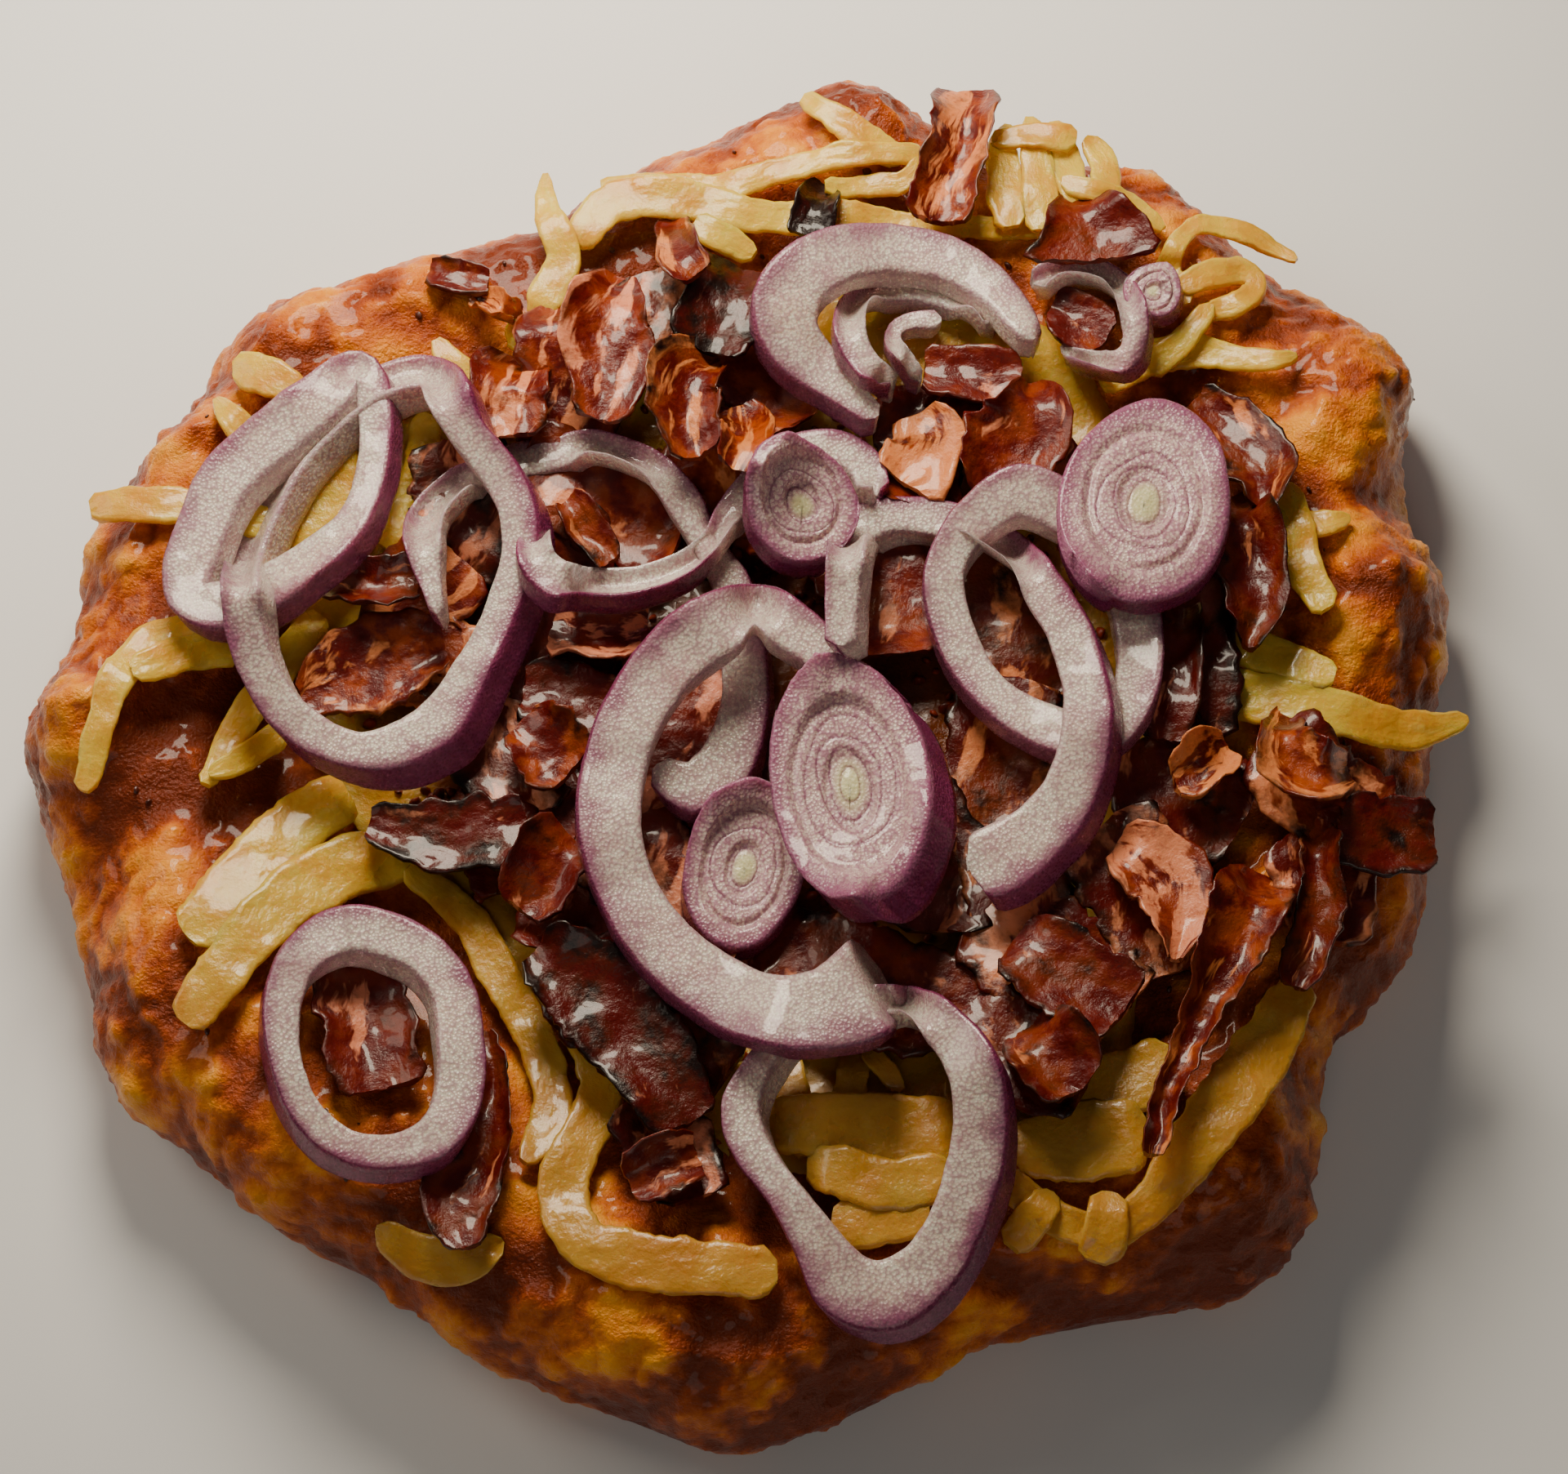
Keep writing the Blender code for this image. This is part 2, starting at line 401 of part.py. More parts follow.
def rows_to_faces(rows, columns, closed_rows, first=0, turned_row=None, turned_column=None):
    """Triangles between the rows of a grid whose columns run right round.

    The underside of a thin piece starts at the turned row or column. Its quads are split the other way,
    so that both sides of the piece have the same triangles.
    """
    faces = []
    for i in range(rows if closed_rows else rows - 1):
        for j in range(columns):
            a = first + i * columns + j
            b = first + i * columns + (j + 1) % columns
            c = first + (i + 1) % rows * columns + (j + 1) % columns
            d = first + (i + 1) % rows * columns + j
            under = (turned_row is not None and i >= turned_row) or (turned_column is not None and j >= turned_column)
            faces += [(a, b, d), (b, c, d)] if under else [(a, b, c), (a, c, d)]
    return faces


def end_faces(rows, columns):
    """Triangles that close the two ends of such a grid."""
    last = (rows - 1) * columns
    faces = []
    for j in range(1, columns - 1):
        faces += [(0, j + 1, j), (last, last + j, last + j + 1)]
    return faces


def outward(points, faces):
    """The faces, turned round together if they enclose a negative volume."""
    volume = 0.0
    for face in faces:
        a = points[face[0]]
        for i in range(1, len(face) - 1):
            volume += np.dot(a, np.cross(points[face[i]], points[face[i + 1]]))
    return faces if volume > 0 else [tuple(reversed(face)) for face in faces]


def make_object(name, points, faces, kind):
    """A closed mesh object whose origin is in the middle of its foot, parented to the food's empty."""
    middle = (points.min(axis=0) + points.max(axis=0)) / 2
    origin = np.array([middle[0], middle[1], points[:, 2].min()])
    mesh = bpy.data.meshes.new(name)
    mesh.from_pydata([tuple(p) for p in (points - origin) * MM], [], faces)
    mesh.validate()
    mesh.shade_smooth()
    mesh.set_sharp_from_angle(angle=math.radians(40))
    mesh.materials.append(material(kind))
    made = bpy.data.objects.new(name, mesh)
    made.location = origin * MM
    made.parent = bpy.data.objects["langos"]
    bpy.context.scene.collection.objects.link(made)
    return made


def material(kind):
    """The Principled material of one kind of food."""
    found = bpy.data.materials.get(kind)
    if found:
        return found
    colour, roughness = COLOURS[kind]
    made = bpy.data.materials.new(kind)
    made.use_nodes = True
    shader = made.node_tree.nodes["Principled BSDF"]
    shader.inputs["Base Color"].default_value = (*colour, 1)
    shader.inputs["Roughness"].default_value = roughness
    shader.inputs["Metallic"].default_value = 0.0
    made.diffuse_color = (*colour, 1)
    return made


def rim_radius(angle):
    """Radius of the bread in one direction, in millimetres."""
    degrees = math.degrees(angle)
    radius = BREAD_RADIUS
    for direction, reach, spread in RIM_LOBES:
        apart = (degrees - direction + 180) % 360 - 180
        radius += reach * math.exp(-((apart / spread) ** 2))
    return radius


def crust_relief(x, y):
    """Blisters, hollows and unevenness of the crust at a place, in millimetres."""
    relief = 0.0
    for across, down, wide, high in BLISTERS:
        middle = laid(across, down, 20.0)
        apart = math.hypot(x - middle[0], y - middle[1]) / (wide / UNITS_PER_MM)
        relief += high * math.exp(-(apart**2))
    place = Vector((x, y, 3.0)) / CRUST_GRAIN
    return relief + CRUST_UNEVEN * (noise.noise(place) + 0.6 * noise.noise(place * 2.3))


def make_bread(heap):
    """The fried dough: rings of points from the middle of the top, over the rim, to the flat foot."""
    top = CRUST_PROFILE[0][1]
    points = [(0.0, 0.0, top + crust_relief(0, 0))]
    for share, height in CRUST_PROFILE:
        for i in range(SECTORS):
            angle = 2 * math.pi * i / SECTORS
            radius = share * rim_radius(angle)
            x = radius * math.cos(angle)
            y = radius * math.sin(angle)
            lift = crust_relief(x, y) * min(1.0, max(0.0, (height - 3.0) / 12.0))
            points.append((x, y, max(height + lift, 0.25)))
    for share in (FOOT_SHARE, 0.4):
        for i in range(SECTORS):
            angle = 2 * math.pi * i / SECTORS
            radius = share * rim_radius(angle)
            points.append((radius * math.cos(angle), radius * math.sin(angle), 0.0))
    points.append((0.0, 0.0, 0.0))
    rings = len(CRUST_PROFILE) + 2
    last = len(points) - 1
    faces = rows_to_faces(rings, SECTORS, False, first=1)
    for i in range(SECTORS):
        following = (i + 1) % SECTORS
        faces.append((0, 1 + following, 1 + i))
        foot = 1 + (rings - 1) * SECTORS
        faces.append((last, foot + i, foot + following))
    points = np.array(points)
    faces = outward(points, faces)
    make_object("bread", points, faces, "crust")
    heap.add(points, faces)


def placed(stations, sideways, shares, levels):
    """Plan places of a band's edges and of what lies between them, with each station at its own level."""
    plan = np.zeros((len(stations), len(shares), 2))
    for i, level in enumerate(levels):
        for j, share in enumerate(shares):
            plan[i, j] = laid(*(stations[i, :2] + sideways[i] * share), level)
    return plan


def evened(levels, closed):
    """Levels along a band, smoothed."""
    mode = "wrap" if closed else "edge"
    for _ in range(2):
        padded = np.pad(levels, 1, mode=mode)
        levels = (padded[:-2] + 2 * padded[1:-1] + padded[2:]) / 4
    return levels


def lay_band(heap, route, closed, thick, sag, lean=(0, 0), cup=0.0, curl=0.0, columns=2, every=STATION_EVERY):
    """Lays a band of food along its route. Gives its points and faces, clear of the heap."""
    count = max(5, round(route_length(route, closed) / every))
    stations = smooth_route(route, closed, count)
    sideways = unit_normals(stations, closed) * stations[:, 2:3] / 2
    shares = np.linspace(-1, 1, columns)
    levels = np.full(count, 26.0)
    for _ in range(5):
        plan = placed(stations, sideways, shares, levels)
        foot = plan - np.array(lean)
        under = sagged(heap.support(foot) + GAP, closed, sag)
        levels = (levels + evened(under.mean(axis=1), closed) + thick) / 2
    progress = np.linspace(0, 1, count)[:, None]
    under = under + cup * shares[None, :] ** 2 + curl * progress**2
    lifted = np.zeros(count)
    while True:
        low = under + lifted[:, None]
        above = np.dstack([plan, low + thick])
        below = np.dstack([foot, low])[:, ::-1]
        points = np.concatenate([above, below], axis=1).reshape(-1, 3)
        faces = rows_to_faces(count, 2 * columns, closed, turned_column=columns)
        if not closed:
            faces += end_faces(count, 2 * columns)
        tested = points.copy().reshape(count, 2 * columns, 3)
        tested[:, columns:, 2] -= GAP * 0.7
        hit = heap.touching(tested.reshape(-1, 3), faces) + heap.touching(points, faces)
        if not hit:
            break
        for face in hit:
            for corner in faces[face]:
                lifted[corner // (2 * columns)] += LIFT_STEP / 4
        spread = (np.roll(lifted, 1) + np.roll(lifted, -1)) / 2
        lifted = np.maximum(lifted, 0.8 * spread if closed else lifted)
    return points, outward(points, faces)


def lay_slice(heap, middle, halves, turn, thick, lean):
    """Lays a solid oval slice with shallow grooves between its layers, limp enough to follow the heap."""
    around = 18
    turned = math.radians(turn)
    shares = np.array([share for share, _ in SLICE_RINGS])
    grooves = np.array([groove for _, groove in SLICE_RINGS])
    angle = 2 * math.pi * np.arange(around) / around
    x = halves[0] * np.cos(angle)
    y = halves[1] * np.sin(angle)
    rim = np.stack([x * math.cos(turned) - y * math.sin(turned), x * math.sin(turned) + y * math.cos(turned)], 1)
    level = 26.0
    for _ in range(3):
        plan = np.zeros((around, len(shares), 2))
        for i in range(around):
            for j, share in enumerate(shares):
                plan[i, j] = laid(*(np.array(middle) + rim[i] * share), level)
        centre = np.array(laid(*middle, level))
        floor = heap.support(plan - np.array(lean), near=2) + GAP
        centre_floor = float(heap.support(centre[None] - np.array(lean), near=2)[0]) + GAP
        under, centre_under = draped(floor, centre_floor)
        level = float(under.mean()) + thick
    lifted = 0.0
    while True:
        low = under + lifted
        top = np.dstack([plan, low + thick + grooves])
        foot = np.dstack([plan - np.array(lean), low])
        points = [(*centre, centre_under + thick + lifted)]
        for j in reversed(range(len(shares))):
            points += [tuple(point) for point in top[:, j]]
        for j in (0, 3):
            points += [tuple(point) for point in foot[:, j]]
        points.append((*(centre - np.array(lean)), centre_under + lifted))
        rings = len(shares) + 2
        faces = rows_to_faces(rings, around, False, first=1, turned_row=len(shares))
        last = len(points) - 1
        for i in range(around):
            following = (i + 1) % around
            faces.append((0, 1 + following, 1 + i))
            start = 1 + (rings - 1) * around
            faces.append((last, start + i, start + following))
        points = np.array(points)
        tested = points.copy()
        tested[1 + len(shares) * around:, 2] -= GAP * 0.7
        if not heap.touching(tested, faces) and not heap.touching(points, faces):
            return points, outward(points, faces)
        lifted += LIFT_STEP


def draped(floor, centre_floor):
    """Heights of a limp round sheet over `floor`: one column for each ring, from its rim inwards."""
    height = np.full(floor.shape, max(floor.max(), centre_floor))
    centre = height.max()
    for _ in range(LAY_STEPS):
        around = (np.roll(height, 1, axis=0) + np.roll(height, -1, axis=0)) / 2
        outer = np.hstack([height[:, :1], height[:, :-1]])
        inner = np.hstack([height[:, 1:], np.full((len(height), 1), centre)])
        height = np.maximum(floor, 0.4 * around + 0.3 * (outer + inner) - SLICE_SAG)
        centre = max(centre_floor, height[:, -1].mean() - SLICE_SAG)
    return height, centre


def make_melt(bread_heap):
    """Points and faces of the sheet of melted cheese that the heap of toppings hides."""
    around = 32
    outline = smooth_route([(*place, 0) for place in MELT_OUTLINE], True, around)[:, :2]
    middle = outline.mean(axis=0)
    shares = (1.0, 0.93, 0.75, 0.5, 0.25)
    centre = np.array(laid(*middle, 17.0))
    rows = []
    for share in shares:
        rows.append([laid(*(middle + (place - middle) * share), 17.0) for place in outline])
    rows = np.array(rows)
    ground = bread_heap.support(rows, near=2) + GAP
    thick = np.array([0.9, 1.8, MELT_THICK, MELT_THICK, MELT_THICK])[:, None]
    centre_ground = float(bread_heap.support(centre[None], near=2)[0]) + GAP
    faces = rows_to_faces(2 * len(shares), around, False, first=1, turned_row=len(shares))
    last = 2 * len(shares) * around + 1
    for i in range(around):
        following = (i + 1) % around
        faces.append((0, 1 + following, 1 + i))
        start = 1 + (2 * len(shares) - 1) * around
        faces.append((last, start + i, start + following))
    lifted = 0.0
    while True:
        points = [(*centre, centre_ground + lifted + MELT_THICK)]
        for row, under in zip(rows[::-1], (ground + thick)[::-1]):
            points += [(*place, height + lifted) for place, height in zip(row, under)]
        for row, under in zip(rows, ground):
            points += [(*place, height + lifted) for place, height in zip(row, under)]
        points.append((*centre, centre_ground + lifted))
        points = np.array(points)
        if not bread_heap.touching(points - np.array([0, 0, GAP / 2]), faces):
            return points, outward(points, faces)
        lifted += LIFT_STEP / 2


def join(name, kind, first, others):
    """One closed piece from overlapping ones. Gives its points in millimetres and its faces."""
    whole = make_object(name, *first, kind)
    parts = bpy.data.collections.new("joined_parts")
    bpy.context.scene.collection.children.link(parts)
    for number, (points, faces) in enumerate(others):
        made = make_object(f"piece_{number}", points, faces, kind)
        bpy.context.scene.collection.objects.unlink(made)
        parts.objects.link(made)
    union = whole.modifiers.new("joined", "BOOLEAN")
    union.operation = "UNION"
    union.operand_type = "COLLECTION"
    union.collection = parts
    union.solver = "EXACT"
    bpy.context.view_layer.update()
    joined = bpy.data.meshes.new_from_object(whole.evaluated_get(bpy.context.evaluated_depsgraph_get()))
    whole.modifiers.clear()
    whole.data = joined
    for made in list(parts.objects):
        bpy.data.objects.remove(made)
    bpy.data.collections.remove(parts)
    points = np.array([tuple(whole.location + corner.co) for corner in joined.vertices]) / MM
    joined.calc_loop_triangles()
    return points, [tuple(triangle.vertices) for triangle in joined.loop_triangles]


def make_cheese(heap):
    """Grated cheese: the melted sheet and every shred that touches it, joined into one piece."""
    melt = make_melt(heap)
    laid_cheese = Heap()
    laid_cheese.heights = heap.heights.copy()
    laid_cheese.map_heights(*melt)
    shreds = []
    for number, route in enumerate(SHREDS):
        shreds.append(lay_joined(laid_cheese, heap, route, SHRED_THICK, CHEESE_SUNK, number))
        laid_cheese.map_heights(*shreds[-1])
    heap.add(*join("cheese_shreds", "cheese", melt, shreds))


def make_bacon_bed(heap):
    """The bacon under the heap: flat pieces that have fried together into one layer."""
    laid_bacon = Heap()
    laid_bacon.heights = heap.heights.copy()
    pieces = []
    for number, route in enumerate(BACON_BED):
        pieces.append(lay_joined(laid_bacon, heap, route, BACON_THICK, BACON_SUNK, number))
        laid_bacon.map_heights(*pieces[-1])
    heap.add(*join("bacon_bed", "bacon", pieces[0], pieces[1:]))


def lay_joined(own, below, route, thick, sunk, number):
    """Lays a strip that sinks a little into its own kind and stays clear of what lies below them all.

    Strips with different numbers lie at slightly different heights, so that no two faces coincide.
    """
    count = max(4, round(route_length(route, False) / JOINED_EVERY))
    stations = smooth_route(route, False, count)
    sideways = unit_normals(stations, False) * stations[:, 2:3] / 2
    levels = np.full(count, 22.0)
    for _ in range(5):
        plan = placed(stations, sideways, (-1, 1), levels)
        ground = below.support(plan, near=2) + GAP + number % 5 * STAGGER
        floor = np.maximum(ground, own.support(plan) - sunk - number % 3 * STAGGER)
        under = sagged(floor, False, SHRED_SAG)
        levels = (levels + evened(under.mean(axis=1), False) + thick) / 2
    lifted = np.zeros(count)
    while True:
        low = under + lifted[:, None]
        middle = plan.mean(axis=1, keepdims=True)
        above = np.dstack([plan, low + thick])
        below_it = np.dstack([middle + (plan - middle) * UNDERCUT, low])[:, ::-1]
        points = np.concatenate([above, below_it], axis=1).reshape(-1, 3)
        faces = rows_to_faces(count, 4, False, turned_column=2) + end_faces(count, 4)
        tested = points.copy()
        tested[:, 2] -= GAP * 0.5
        hit = below.touching(tested, faces) + below.touching(points, faces)
        if not hit:
            return points, outward(points, faces)
        for face in hit:
            for corner in faces[face]:
                lifted[corner // 4] += LIFT_STEP / 4


def make_bacon(heap):
    """Pieces of fried streaky bacon, each a thin slab with its edges curled up a little."""
    for name, route, cup, curl in BACON:
        points, faces = lay_band(heap, route, False, BACON_THICK, BACON_SAG, (0, 0), cup, curl, 3, BACON_EVERY)
        make_object(name, points, faces, "bacon")
        heap.add(points, faces)


def make_onion(heap):
    """Rings, arcs and whole slices of red onion on top of the heap."""
    rings = {ring[0]: ring[1:] for ring in ONION_RINGS}
    slices = {cut[0]: cut[1:] for cut in ONION_SLICES}
    for name in ONION_ORDER:
        if name in rings:
            closed, route, thick, lean = rings[name]
            points, faces = lay_band(heap, route, closed, thick, ONION_SAG, lean)
        else:
            middle, halves, turn, thick, lean = slices[name]
            points, faces = lay_slice(heap, middle, halves, turn, thick, lean)
        make_object(name, points, faces, "onion")
        heap.add(points, faces)


def make_langos():
    for leftover in list(bpy.data.objects):
        bpy.data.objects.remove(leftover)
    holder = bpy.data.objects.new("langos", None)
    bpy.context.scene.collection.objects.link(holder)
    heap = Heap()
    make_bread(heap)
    make_cheese(heap)
    make_bacon_bed(heap)
    points, faces = lay_band(heap, SHRED_ALONE, False, SHRED_THICK, SHRED_SAG)
    make_object("cheese_shred_front", points, faces, "cheese")
    heap.add(points, faces)
    make_bacon(heap)
    make_onion(heap)
    centre_over_origin()


def centre_over_origin():
    """Moves the whole food so that its box stands on the origin with its middle there."""
    bpy.context.view_layer.update()
    made = [piece for piece in bpy.data.objects if piece.type == "MESH"]
    corners = np.array([tuple(piece.matrix_world @ point.co) for piece in made for point in piece.data.vertices])
    middle = (corners.min(axis=0) + corners.max(axis=0)) / 2
    for piece in made:
        piece.location -= Vector((middle[0], middle[1], 0.0))


make_langos()
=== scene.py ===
"""Langos: fried flatbread with grated cheese, pieces of fried bacon and rings of red onion.

The looks of the food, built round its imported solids. Lengths are in millimetres until a mesh is made.
"""

import math

import bpy
import numpy as np
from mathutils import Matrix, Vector, noise
from mathutils.bvhtree import BVHTree


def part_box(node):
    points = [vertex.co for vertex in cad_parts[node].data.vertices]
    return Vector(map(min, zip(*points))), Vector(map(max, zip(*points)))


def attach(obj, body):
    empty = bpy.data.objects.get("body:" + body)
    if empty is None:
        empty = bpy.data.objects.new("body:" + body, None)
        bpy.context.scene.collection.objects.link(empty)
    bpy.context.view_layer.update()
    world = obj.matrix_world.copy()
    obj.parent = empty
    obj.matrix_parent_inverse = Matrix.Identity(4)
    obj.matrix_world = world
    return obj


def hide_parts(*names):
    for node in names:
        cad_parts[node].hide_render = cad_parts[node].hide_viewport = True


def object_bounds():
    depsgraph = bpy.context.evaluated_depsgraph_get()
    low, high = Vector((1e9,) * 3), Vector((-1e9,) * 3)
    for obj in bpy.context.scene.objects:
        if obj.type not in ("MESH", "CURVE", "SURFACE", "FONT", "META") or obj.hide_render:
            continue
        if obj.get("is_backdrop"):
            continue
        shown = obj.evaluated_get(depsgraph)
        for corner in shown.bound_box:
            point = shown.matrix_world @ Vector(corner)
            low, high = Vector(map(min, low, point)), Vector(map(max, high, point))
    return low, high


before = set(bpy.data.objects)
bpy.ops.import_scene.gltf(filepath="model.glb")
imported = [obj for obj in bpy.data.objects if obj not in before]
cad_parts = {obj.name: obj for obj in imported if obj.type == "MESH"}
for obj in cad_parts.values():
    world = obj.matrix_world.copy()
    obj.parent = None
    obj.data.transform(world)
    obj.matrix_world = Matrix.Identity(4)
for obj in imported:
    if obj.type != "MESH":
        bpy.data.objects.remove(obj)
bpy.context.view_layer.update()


# The view. The food is seen from the near side and steeply from above. Places are given as they
# appear from there, ten units to a millimetre at the point looked at.
MM = 0.001
UNITS_PER_MM = 10.0
PICTURE_MIDDLE = (960.0, 902.5)
LOOKED_AT = (5.831, -3.744, 16.0)
SLANT = math.radians(68.0)
VIEWER_AWAY = 550.0
PICTURE_WIDE = 192.0


def laid(across, down, height):
    """Plan place of a point seen in the view, at a height above the table."""
    right = (across - PICTURE_MIDDLE[0]) / UNITS_PER_MM
    up = (PICTURE_MIDDLE[1] - down) / UNITS_PER_MM
    rise = height - LOOKED_AT[2]
    sine = math.sin(SLANT)
    cosine = math.cos(SLANT)
    back = up * VIEWER_AWAY - up * rise * sine - VIEWER_AWAY * rise * cosine
    back /= VIEWER_AWAY * sine - up * cosine
    depth = VIEWER_AWAY + back * cosine - rise * sine
    return right * depth / VIEWER_AWAY + LOOKED_AT[0], back + LOOKED_AT[1]


camera = bpy.data.objects.new("view_camera", bpy.data.cameras.new("view_camera"))
bpy.context.scene.collection.objects.link(camera)
camera.data.sensor_width = 36.0
camera.data.lens = 36.0 * VIEWER_AWAY / PICTURE_WIDE
camera.data.clip_start = 0.01
camera.location = (Vector(LOOKED_AT) + VIEWER_AWAY * Vector((0, -math.cos(SLANT), math.sin(SLANT)))) * MM
camera.rotation_euler = (math.radians(90) - SLANT, 0, 0)
bpy.context.scene.camera = camera


# The bread: wheat dough fried in deep fat, one piece. Its rim has swollen into lumps and blisters with
# a thin crisp crust, golden to brown in patches. Its colour is painted lighter on the lumps as painted
# highlight and darker in the hollows as painted shade.
CRUST_CELL = 0.00085
BLISTER_SIZE = 0.0115
BLISTER_HEIGHT = 0.0030
WRINKLE_SIZE = 0.0052
WRINKLE_HEIGHT = 0.0009
CRINKLE_SIZE = 0.0017
CRINKLE_HEIGHT = 0.0003


class Flow:
    """A node's output. Reckoning with flows adds the nodes that do so to their tree."""

    def __init__(self, socket):
        self.socket = socket
        self.tree = socket.id_data
        self.wide = socket.type in ("VECTOR", "RGBA")

    def maths(self, operation, *values, **settings):
        kind = "ShaderNodeVectorMath" if self.wide else "ShaderNodeMath"
        return put(self.tree, kind, dict(enumerate((self, *values))), operation=operation, **settings)

    def __add__(self, other):
        return self.maths("ADD", other)

    def __sub__(self, other):
        return self.maths("SUBTRACT", other)

    def __rsub__(self, other):
        return put(self.tree, "ShaderNodeMath", {0: other, 1: self}, operation="SUBTRACT")

    def __mul__(self, other):
        if self.wide and not isinstance(other, tuple):
            return put(self.tree, "ShaderNodeVectorMath", {0: self, "Scale": other}, operation="SCALE")
        return self.maths("MULTIPLY", other)

    def __truediv__(self, other):
        return self.maths("DIVIDE", other)

    def __rtruediv__(self, other):
        return put(self.tree, "ShaderNodeMath", {0: other, 1: self}, operation="DIVIDE")

    def __abs__(self):
        return self.maths("ABSOLUTE")

    def length(self):
        return put(self.tree, "ShaderNodeVectorMath", {0: self}, out="Value", operation="LENGTH")

    def parts(self):
        """The three values of a vector."""
        split = put(self.tree, "ShaderNodeSeparateXYZ", {0: self}).socket.node
        return [Flow(socket) for socket in split.outputs]


def put(tree, kind, inputs=None, out=0, **settings):
    """Adds a node and gives one output. An input takes a value or a flow."""
    node = tree.nodes.new(kind)
    for key, value in settings.items():
        setattr(node, key, value)
    for key, value in (inputs or {}).items():
        if isinstance(value, Flow):
            tree.links.new(value.socket, node.inputs[key])
        else:
            node.inputs[key].default_value = value
    return Flow(node.outputs[out])


def joined(tree, x=0.0, y=0.0, z=0.0):
    """A vector of three values."""
    return put(tree, "ShaderNodeCombineXYZ", {0: x, 1: y, 2: z})


def smooth_mask(value, low, high):
    """0 at `low` and 1 at `high`, with an even turn between them."""
    return put(value.tree, "ShaderNodeMapRange", {"Value": value, "From Min": low, "From Max": high},
               interpolation_type="SMOOTHSTEP")


def mottle(place, size, detail=4.0, roughness=0.55, out=0, finer=1.0):
    """Soft noise with patches about `size` across, or so many times finer."""
    return put(place.tree, "ShaderNodeTexNoise", {
        "Vector": place, "Scale": finer / size, "Detail": detail, "Roughness": roughness}, out=out)


def mixed(share, first, second):
    """Two colours mixed by a share."""
    return put(share.tree, "ShaderNodeMix", {0: share, 6: first, 7: second}, out=2, data_type="RGBA")


def paint(red, green, blue):
    """A screen colour, 0 to 255, as the renderer takes it."""
    shares = [value / 255 for value in (red, green, blue)]
    return tuple(s / 12.92 if s < 0.04045 else ((s + 0.055) / 1.055) ** 2.4 for s in shares) + (1.0,)


def new_tree(name, values, whole=()):
    """A geometry tree with a Geometry socket each way and named inputs, and those inputs as flows."""
    tree = bpy.data.node_groups.new(name, "GeometryNodeTree")
    tree.interface.new_socket("Geometry", in_out="OUTPUT", socket_type="NodeSocketGeometry")
    kinds = {"Geometry": "Geometry", **{key: "Int" if key in whole else "Float" for key in values},
             "Material": "Material"}
    for key, kind in kinds.items():
        tree.interface.new_socket(key, in_out="INPUT", socket_type="NodeSocket" + kind)
    sockets = tree.nodes.new("NodeGroupInput").outputs
    return tree, {socket.name: Flow(socket) for socket in sockets if socket.name}


def finish_tree(shape, given):
    """The end of every tree: smooth shading, instances made real, and the material set."""
    tree = shape.tree
    shape = put(tree, "GeometryNodeSetShadeSmooth", {"Geometry": shape})
    shape = put(tree, "GeometryNodeRealizeInstances", {"Geometry": shape})
    shape = put(tree, "GeometryNodeSetMaterial", {"Geometry": shape, "Material": given["Material"]})
    tree.links.new(shape.socket, tree.nodes.new("NodeGroupOutput").inputs[0])


def grown(name, mesh, tree, values, before=()):
    """Runs a tree, and any modifiers before it, on a mesh. Gives the object with the plain result."""
    piece = bpy.data.objects.new(name, mesh)
    bpy.context.scene.collection.objects.link(piece)
    for kind, settings in before:
        step = piece.modifiers.new(kind.lower(), kind)
        for key, value in settings.items():
            setattr(step, key, value)
    step = piece.modifiers.new("growth", "NODES")
    step.node_group = tree
    for socket in tree.interface.items_tree:
        if socket.in_out == "INPUT" and socket.name in values:
            step[socket.identifier] = values[socket.name]
    bpy.context.view_layer.update()
    shaped = bpy.data.meshes.new_from_object(piece.evaluated_get(bpy.context.evaluated_depsgraph_get()))
    piece.modifiers.clear()
    piece.data = shaped
    shaped.name = name
    corners = np.empty(len(shaped.vertices) * 3)
    shaped.vertices.foreach_get("co", corners)
    corners = corners.reshape(-1, 3)
    shaped.calc_loop_triangles()
    triangles = np.empty(len(shaped.loop_triangles) * 3, int)
    shaped.loop_triangles.foreach_get("vertices", triangles)
    if np.linalg.det(corners[triangles.reshape(-1, 3)]).sum() < 0:
        shaped.flip_normals()
    return piece


def surface(name, coat, coat_roughness, bleed=0.0, reach=(1.0, 0.4, 0.2), depth=0.001, **more):
    """A material with its tree, its shader and where a point lies in millimetres. Light goes a little
    way into soft food: `bleed`, `reach` and `depth` say how far."""
    material = bpy.data.materials.new(name)
    material.use_nodes = True
    tree = material.node_tree
    shader = tree.nodes["Principled BSDF"]
    settings = {"Coat Weight": coat, "Coat Roughness": coat_roughness, "Subsurface Weight": bleed,
                "Subsurface Radius": reach, "Subsurface Scale": depth}
    names = {"specular": "Specular IOR Level", "clear": "Transmission Weight", "bend": "IOR"}
    settings.update({names[key]: value for key, value in more.items()})
    for key, value in settings.items():
        shader.inputs[key].default_value = value
    return material, tree, shader, put(tree, "ShaderNodeTexCoord", out="Object") * 1000.0


def told(tree, key, out="Fac"):
    """A mesh attribute in a material."""
    return put(tree, "ShaderNodeAttribute", out=out, attribute_name=key)


def finish_surface(shader, colour, matt, relief=None):
    """Feeds a shader. `matt` is (patches, span, least) of its roughness, `relief` is (height, distance,
    strength) of what is too fine for the mesh."""
    tree = shader.id_data
    feeds = {"Base Color": colour, "Roughness": matt[0].maths("MULTIPLY_ADD", *matt[1:])}
    if relief:
        feeds["Normal"] = put(tree, "ShaderNodeBump", dict(zip(("Height", "Distance", "Strength"), relief)))
    for key, flow in feeds.items():
        tree.links.new(flow.socket, shader.inputs[key])


